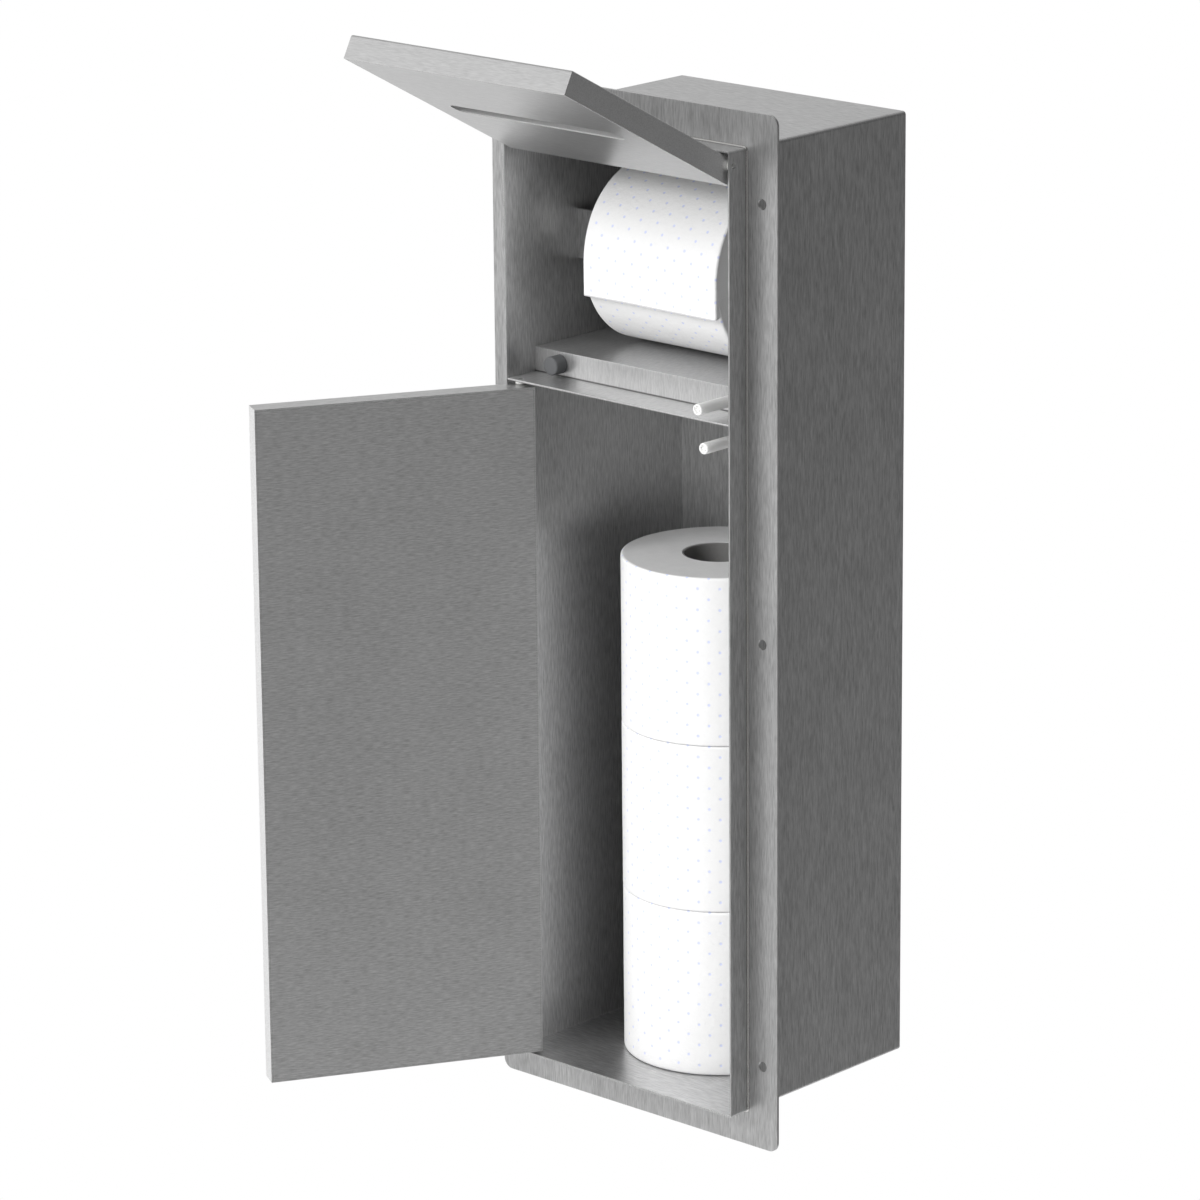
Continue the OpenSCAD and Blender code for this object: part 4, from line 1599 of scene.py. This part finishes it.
    def build(self, frame: dict, palette: Palette) -> None:
        """Makes the roll and its core.

        Args:
            frame: The loaded frame; not used.
            palette: The finishes; not used.
        """
        paper = PrintedPaper(self.name + "_paper", centre=self.centre, level=self.level,
                             radius=self.radius, columns=self.columns)
        ends = PaperEdge(self.name + "_ends", centre=self.centre, level=self.level)
        # Painted shade: a darker paper for the strip along the loose edge and a standing
        # roll's foot.
        shade_strip = PaperEdge(self.name + "_lip", (0.60, 0.60, 0.61), centre=self.centre,
                        level=self.level)
        card = CoreCard(self.name + "_card", centre=self.centre, level=self.level)
        self.stand_for(self.wound(), self.body, "roll_paper", [paper, ends, shade_strip],
                       self.nodes[0])
        self.stand_for(self.tube(), self.body, "core_card", [card], self.nodes[1])


# ------------------------------------------------------------------------ studio


@dataclass
class Studio:
    """Camera, pale floor, lamps and the room's light.

    The room is pale at the left, in front and overhead, with a window at the left, and darker
    at the right. Each fade is the pair of direction parts between which a part of it comes in.
    Behind is the direction in which metal shows the white backdrop.
    """

    lens: float = 170.95
    sensor: float = 36.0
    clip: Span = (0.05, 50.0)
    place: Point = (2094.3, -2296.6, 896.8)
    azimuth: float = 42.743
    pitch: float = 15.96
    roll: float = 0.496
    floor_z: float = -900.0
    floor_r: float = 1000.0
    floor_dark: Colour = (0.93, 0.93, 0.93)
    floor_pale: Colour = (0.97, 0.97, 0.97)
    floor_rough: float = 0.9
    floor_scale: float = 40.0
    floor_glow: float = 0.8
    floor_fade: Span = (0.5, 0.95)
    floor_rim: Span = (0.9, 1.0)
    lamp_size: float = 1600.0
    key_place: Point = (-500.0, -2750.0, 1900.0)
    key_power: float = 78.0
    top_place: Point = (-300.0, -1200.0, 3000.0)
    top_power: float = 26.0
    side_place: Point = (1300.0, -3100.0, -300.0)
    side_power: float = 42.0
    room: float = 0.40
    front: float = 0.14
    window: float = 0.84
    ceiling: float = 0.09
    right_wall: float = 0.088
    right_glow: float = 0.16
    right_ground: float = 0.51
    right_fade: Span = (-0.25, 0.55)
    front_fade: Span = (0.1, 0.7)
    low_from: float = 0.15
    window_side: Span = (0.1, 0.6)
    window_sill: Span = (-0.15, 0.15)
    window_head: Span = (0.65, 0.35)
    ceiling_fade: Span = (0.3, 0.9)
    glow_fade: Span = (0.7, 1.0)
    behind: Point = (-0.88, 0.44, -0.18)
    behind_fade: Span = (0.72, 0.95)

    def camera(self) -> None:
        """The camera at the photograph's view."""
        a, p, r = (math.radians(v) for v in (self.azimuth, self.pitch, self.roll))
        right = Vector((math.cos(a), math.sin(a), 0.0))
        ahead = Vector((-math.sin(a) * math.cos(p), math.cos(a) * math.cos(p), -math.sin(p)))
        down = ahead.cross(right)
        across = right * math.cos(r) + down * math.sin(r)
        below = down * math.cos(r) - right * math.sin(r)
        data = bpy.data.cameras.new("camera")
        data.lens, data.sensor_width = self.lens, self.sensor
        data.clip_start, data.clip_end = self.clip
        made = bpy.data.objects.new("camera", data)
        bpy.context.scene.collection.objects.link(made)
        turn = Matrix((across, -below, -ahead)).transposed().to_4x4()
        made.matrix_world = Matrix.Translation(Vector(self.place) * MM) @ turn
        bpy.context.scene.camera = made

    def light_room(self) -> None:
        """The world: a white backdrop, for the camera and the metal, in a soft grey room."""
        world = bpy.data.worlds.new("studio")
        world.use_nodes = True
        bpy.context.scene.world = world
        graph = Graph(world.node_tree)
        way = graph.add("ShaderNodeTexCoord", out="Generated")
        x, y, z = graph.parts(way)
        right, front = x.ease(*self.right_fade), (-y).ease(*self.front_fade)
        low = (-z - self.low_from).at_least(0.0)
        window = (front * (-x).ease(*self.window_side) * z.ease(*self.window_sill)
                  * z.ease(*self.window_head))
        pale = (1.0 - right) * (self.room + front * self.front + window * self.window
                                + z.ease(*self.ceiling_fade) * self.ceiling)
        dark = right * (x.ease(*self.glow_fade) * self.right_glow
                        + low * self.right_ground + self.right_wall)
        behind = graph.dot(way, self.behind).ease(*self.behind_fade)
        seen = graph.add("ShaderNodeLightPath", out="Is Camera Ray")
        mirrored = seen.other("Is Glossy Ray") + seen.other("Is Transmission Ray")
        shown = seen.at_least(mirrored.at_most(1.0) * behind)
        strength = shown + (1.0 - shown) * (pale + dark)
        shade = graph.add("ShaderNodeBackground", {}, {"Color": (1.0, 1.0, 1.0),
                                                       "Strength": strength})
        graph.add("ShaderNodeOutputWorld", {}, {"Surface": shade})

    def lamp(self, name: str, place: Point, power: float) -> None:
        """A soft square lamp that points at the cabinet.

        Args:
            name: The lamp's name.
            place: Where it stands, millimetres.
            power: Its power in watts.
        """
        data = bpy.data.lights.new(name, "AREA")
        data.shape, data.size = "SQUARE", self.lamp_size * MM
        data.energy = power
        made = bpy.data.objects.new(name, data)
        made.visible_glossy = False
        bpy.context.scene.collection.objects.link(made)
        turn = (-Vector(place)).to_track_quat("-Z", "Z").to_matrix().to_4x4()
        made.matrix_world = Matrix.Translation(Vector(place) * MM) @ turn

    def floor(self) -> None:
        """A round pale floor below the cabinet that fades into the white room."""
        sides = 96
        points: list[Vector] = [Vector((0.0, 0.0, self.floor_z))]
        loops: list[list[int]] = []
        for share in (0.35, 0.7, 1.0):
            first, reach = len(points), self.floor_r * share
            points += [Vector((reach * math.cos(TURN * k / sides),
                               reach * math.sin(TURN * k / sides), self.floor_z))
                       for k in range(sides)]
            loops.append(list(range(first, len(points))))
        made = Bench.piece("floor", points, Bench.skin(loops, 0))
        finish = bpy.data.materials.new("pale_floor")
        finish.use_nodes = True
        graph = Graph(finish.node_tree)
        place = graph.place()
        out = graph.vector("LENGTH", graph.vector("MULTIPLY", place, (1.0, 1.0, 0.0)),
                           out="Value") / (self.floor_r * MM)
        soft = graph.speckle(place, self.floor_scale, 2.0, 0.5)
        colour = graph.blend(soft * 0.3 + 0.5, self.floor_dark, self.floor_pale)
        matte = graph.add("ShaderNodeBsdfPrincipled", {}, {"Base Color": colour,
                                                           "Roughness": self.floor_rough})
        glow = graph.add("ShaderNodeEmission", {}, {"Color": (1.0, 1.0, 1.0), "Strength": 1.0})
        clear = graph.add("ShaderNodeBsdfTransparent")
        ray = graph.add("ShaderNodeLightPath", out="Is Camera Ray")
        seen = ray * (self.floor_glow + out.ease(*self.floor_fade) * (1.0 - self.floor_glow))
        white = graph.add("ShaderNodeMixShader", {}, {0: seen, 1: matte, 2: glow})
        rim = out.ease(*self.floor_rim) * (1.0 - ray)
        shade = graph.add("ShaderNodeMixShader", {}, {0: rim, 1: white, 2: clear})
        graph.add("ShaderNodeOutputMaterial", {}, {"Surface": shade})
        made.data.materials.append(finish)

    def build(self) -> None:
        """Sets up camera, room, lamps and floor."""
        bpy.context.scene.view_settings.view_transform = "Standard"
        self.camera()
        self.light_room()
        self.lamp("key", self.key_place, self.key_power)
        self.lamp("top", self.top_place, self.top_power)
        self.lamp("side", self.side_place, self.side_power)
        self.floor()
        LOG.info("studio: camera, room, lamps and floor are ready")


def rolls() -> list[PaperRoll]:
    """The roll in use and the three spare rolls.

    Returns:
        The rolls, from the roll in use to the highest spare roll.
    """
    return [
        PaperRoll("hung_roll", "roll", (0.0, 65.0, 195.5), True, radius=53.0, edge_angle=20.8,
                  arc=112.0, lift=0.8, hang_from=1.0, columns=52, seed=1.7,
                  nodes=("toilet_roll", "roll_core")),
        PaperRoll("spare_low", "cabinet", (0.0, 71.0, -228.8), radius=57.0, edge_angle=150.0,
                  lift=0.5, seed=4.2, nodes=("spare_roll_low", "spare_core_low")),
        PaperRoll("spare_middle", "cabinet", (0.0, 71.0, -128.8), radius=56.8,
                  edge_angle=75.0, lift=0.5, seed=9.1,
                  nodes=("spare_roll_middle", "spare_core_middle")),
        PaperRoll("spare_high", "cabinet", (0.0, 71.0, -28.8), radius=57.0, edge_angle=215.0,
                  lift=0.5, seed=13.4, nodes=("spare_roll_high", "spare_core_high")),
    ]


def main() -> None:
    """Builds the studio and every sub-assembly in order; each logs what it makes."""
    logging.basicConfig(level=logging.INFO, format="%(name)s %(message)s")
    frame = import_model()
    palette = Palette()
    Studio().build()
    for part in (Housing(), Lids(), Pivots(), Latches(), Stop(), Spindle(), *rolls()):
        part.build(frame, palette)


if __name__ == "__main__":
    main()
